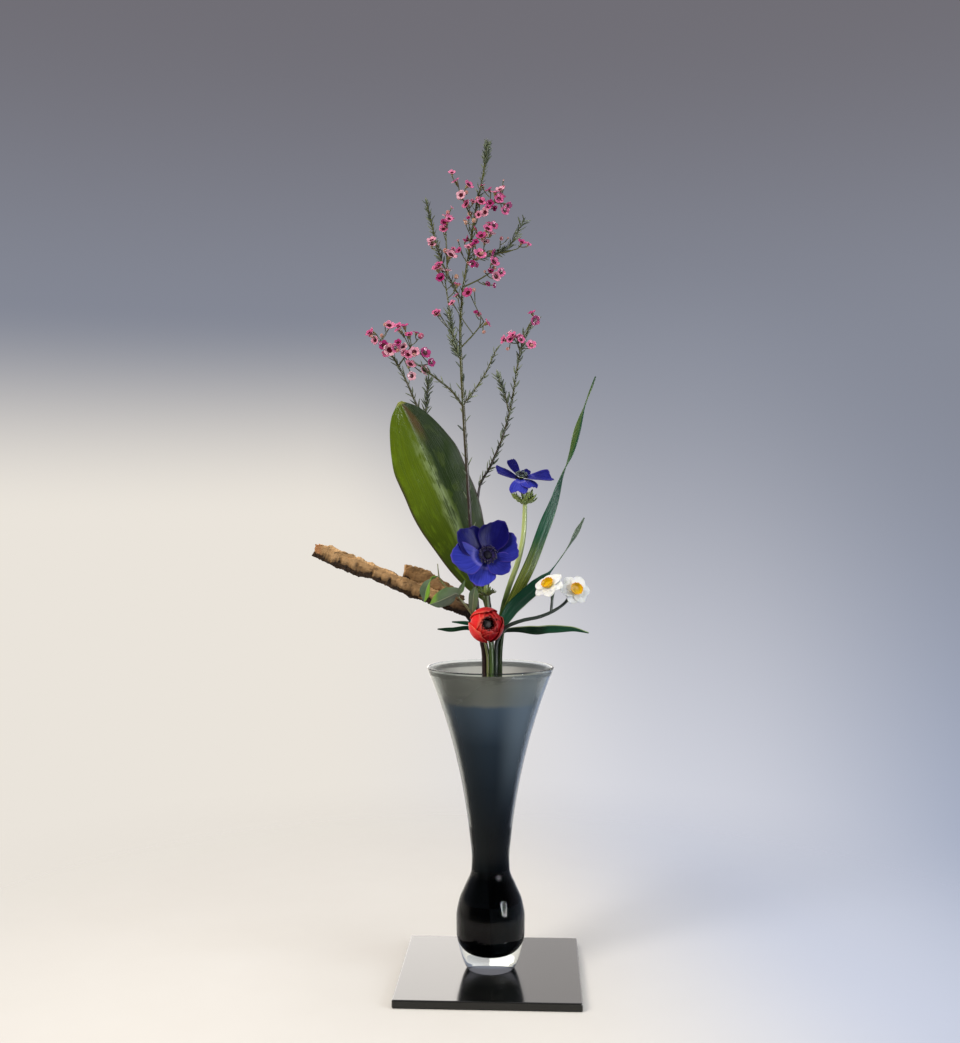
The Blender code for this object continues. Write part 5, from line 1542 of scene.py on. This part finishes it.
STRAP_TONES = {"tall": 1.0, "middle": 0.0, "right": 0.5, "left": 0.5, "short": 0.25}
for seed, (name, (rows, count)) in enumerate(STRAP_LEAVES.items(), 800):
    leaf = blade(rows, count, 25, 0.10, 0.35, 0.35, seed)
    leaf.tone = leaf.tone + STRAP_TONES[name]
    piece(f"narcissus_leaf_{name}", leaf, strap, [f"narcissus_leaf_{name}"], 0.9)

# ---------------------------------------------------------------- eucalyptus
# A thin bent twig at the front left with four matt grey-green leaves, each folded a little along its
# midrib and bowed.

grey_green = Finish("eucalyptus_grey_green")
along, side = grey_green.across()
spot = grey_green.place()
net = grey_green.cells(grey_green.over(along * 9.0, side * 5.0), 1.6)
bloom = grey_green.noise(spot, 90.0, 3.0)
midrib = (side - 0.5).size().between(0.035, 0.012)
dusty_and_painted_light = grey_green.mix(bloom, shade(58, 78, 58), shade(108, 126, 96))
# Painted light: one half of each folded leaf is painted yellower as lit, most on the leaves furthest left.
dusty_and_painted_light = grey_green.mix(side.between(0.50, 0.62) * 0.30, dusty_and_painted_light, shade(112, 156, 58))
painted_lit_half = grey_green.axes(spot)[0].between(-0.050, -0.055) * side.between(0.50, 0.56)
dusty_and_painted_light = grey_green.mix(painted_lit_half * 0.8, dusty_and_painted_light, shade(128, 176, 44))
grey_green.paint({
    "Base Color": grey_green.mix(midrib * 0.6, dusty_and_painted_light, shade(170, 182, 130)),
    "Roughness": bloom * 0.2 + 0.55,
    "Normal": grey_green.relief(net * 0.5 + bloom * 0.3, 0.35),
})
twig_skin = stalk_finish("eucalyptus_twig_bark", (72, 74, 44), (150, 156, 96))
twig = stem(rooted(243, 1.5, [
    (-6, -9, 341, 1.4), (-18, -13, 366, 1.2), (-32, -19, 384, 1.0), (-44, -22, 394.5, 0.9),
    (-50.5, -22, 404, 0.7), (-52, -22, 417, 0.4),
]), 160, 10, knots=0.08, seed=21)
piece("eucalyptus_twig", twig, twig_skin, ["eucalyptus_twig"])
# Each leaf's rows, as (x, y, z, side x, side y, side z, half width, dish).
EUCALYPTUS_LEAVES = {
    "outer": [
        (-51.9, -22.6, 404.5, 0.55, -0.6, 0.55, 0.9, 0.0), (-58, -26, 401, 0.60, -0.55, 0.55, 5.4, 0.25),
        (-63, -27, 391, 0.80, -0.50, 0.30, 6.6, 0.30), (-65, -26, 379, 0.90, -0.40, 0.10, 0.6, 0.0),
    ],
    "broad": [
        (-30.5, -20.6, 385.2, 0.30, -0.50, 0.80, 1.2, 0.0), (-33, -24, 387.5, 0.40, -0.20, 0.90, 6.0, 0.15),
        (-42, -27, 384, 0.40, -0.20, 0.90, 9.5, 0.20), (-52, -28, 379.5, 0.40, -0.20, 0.90, 7.0, 0.15),
        (-59, -28, 377, 0.40, -0.20, 0.90, 0.6, 0.0),
    ],
    "inner": [
        (-17.5, -14.7, 367.2, 0.80, -0.10, 0.50, 0.9, 0.0),
        (-17.0, -17.0, 376, 0.90, -0.10, 0.30, 4.5, 0.15),
        (-16.0, -20.0, 386, 0.90, -0.10, 0.30, 4.8, 0.15), (-14.5, -21.0, 394, 0.90, -0.10, 0.30, 0.6, 0.0),
    ],
    "small": [
        (-31.6, -18.0, 385.3, 0.80, -0.30, 0.30, 0.9, 0.0), (-29, -17.5, 391, 0.90, -0.20, 0.20, 3.0, 0.10),
        (-25, -18, 400, 0.90, -0.20, 0.40, 0.6, 0.0),
    ],
}
for seed, (name, rows) in enumerate(EUCALYPTUS_LEAVES.items(), 900):
    node = f"eucalyptus_leaf_{name}"
    piece(node, blade(rows, 50, 21, 0.0, 0.25, 0.3, seed), grey_green, [node], 0.5)
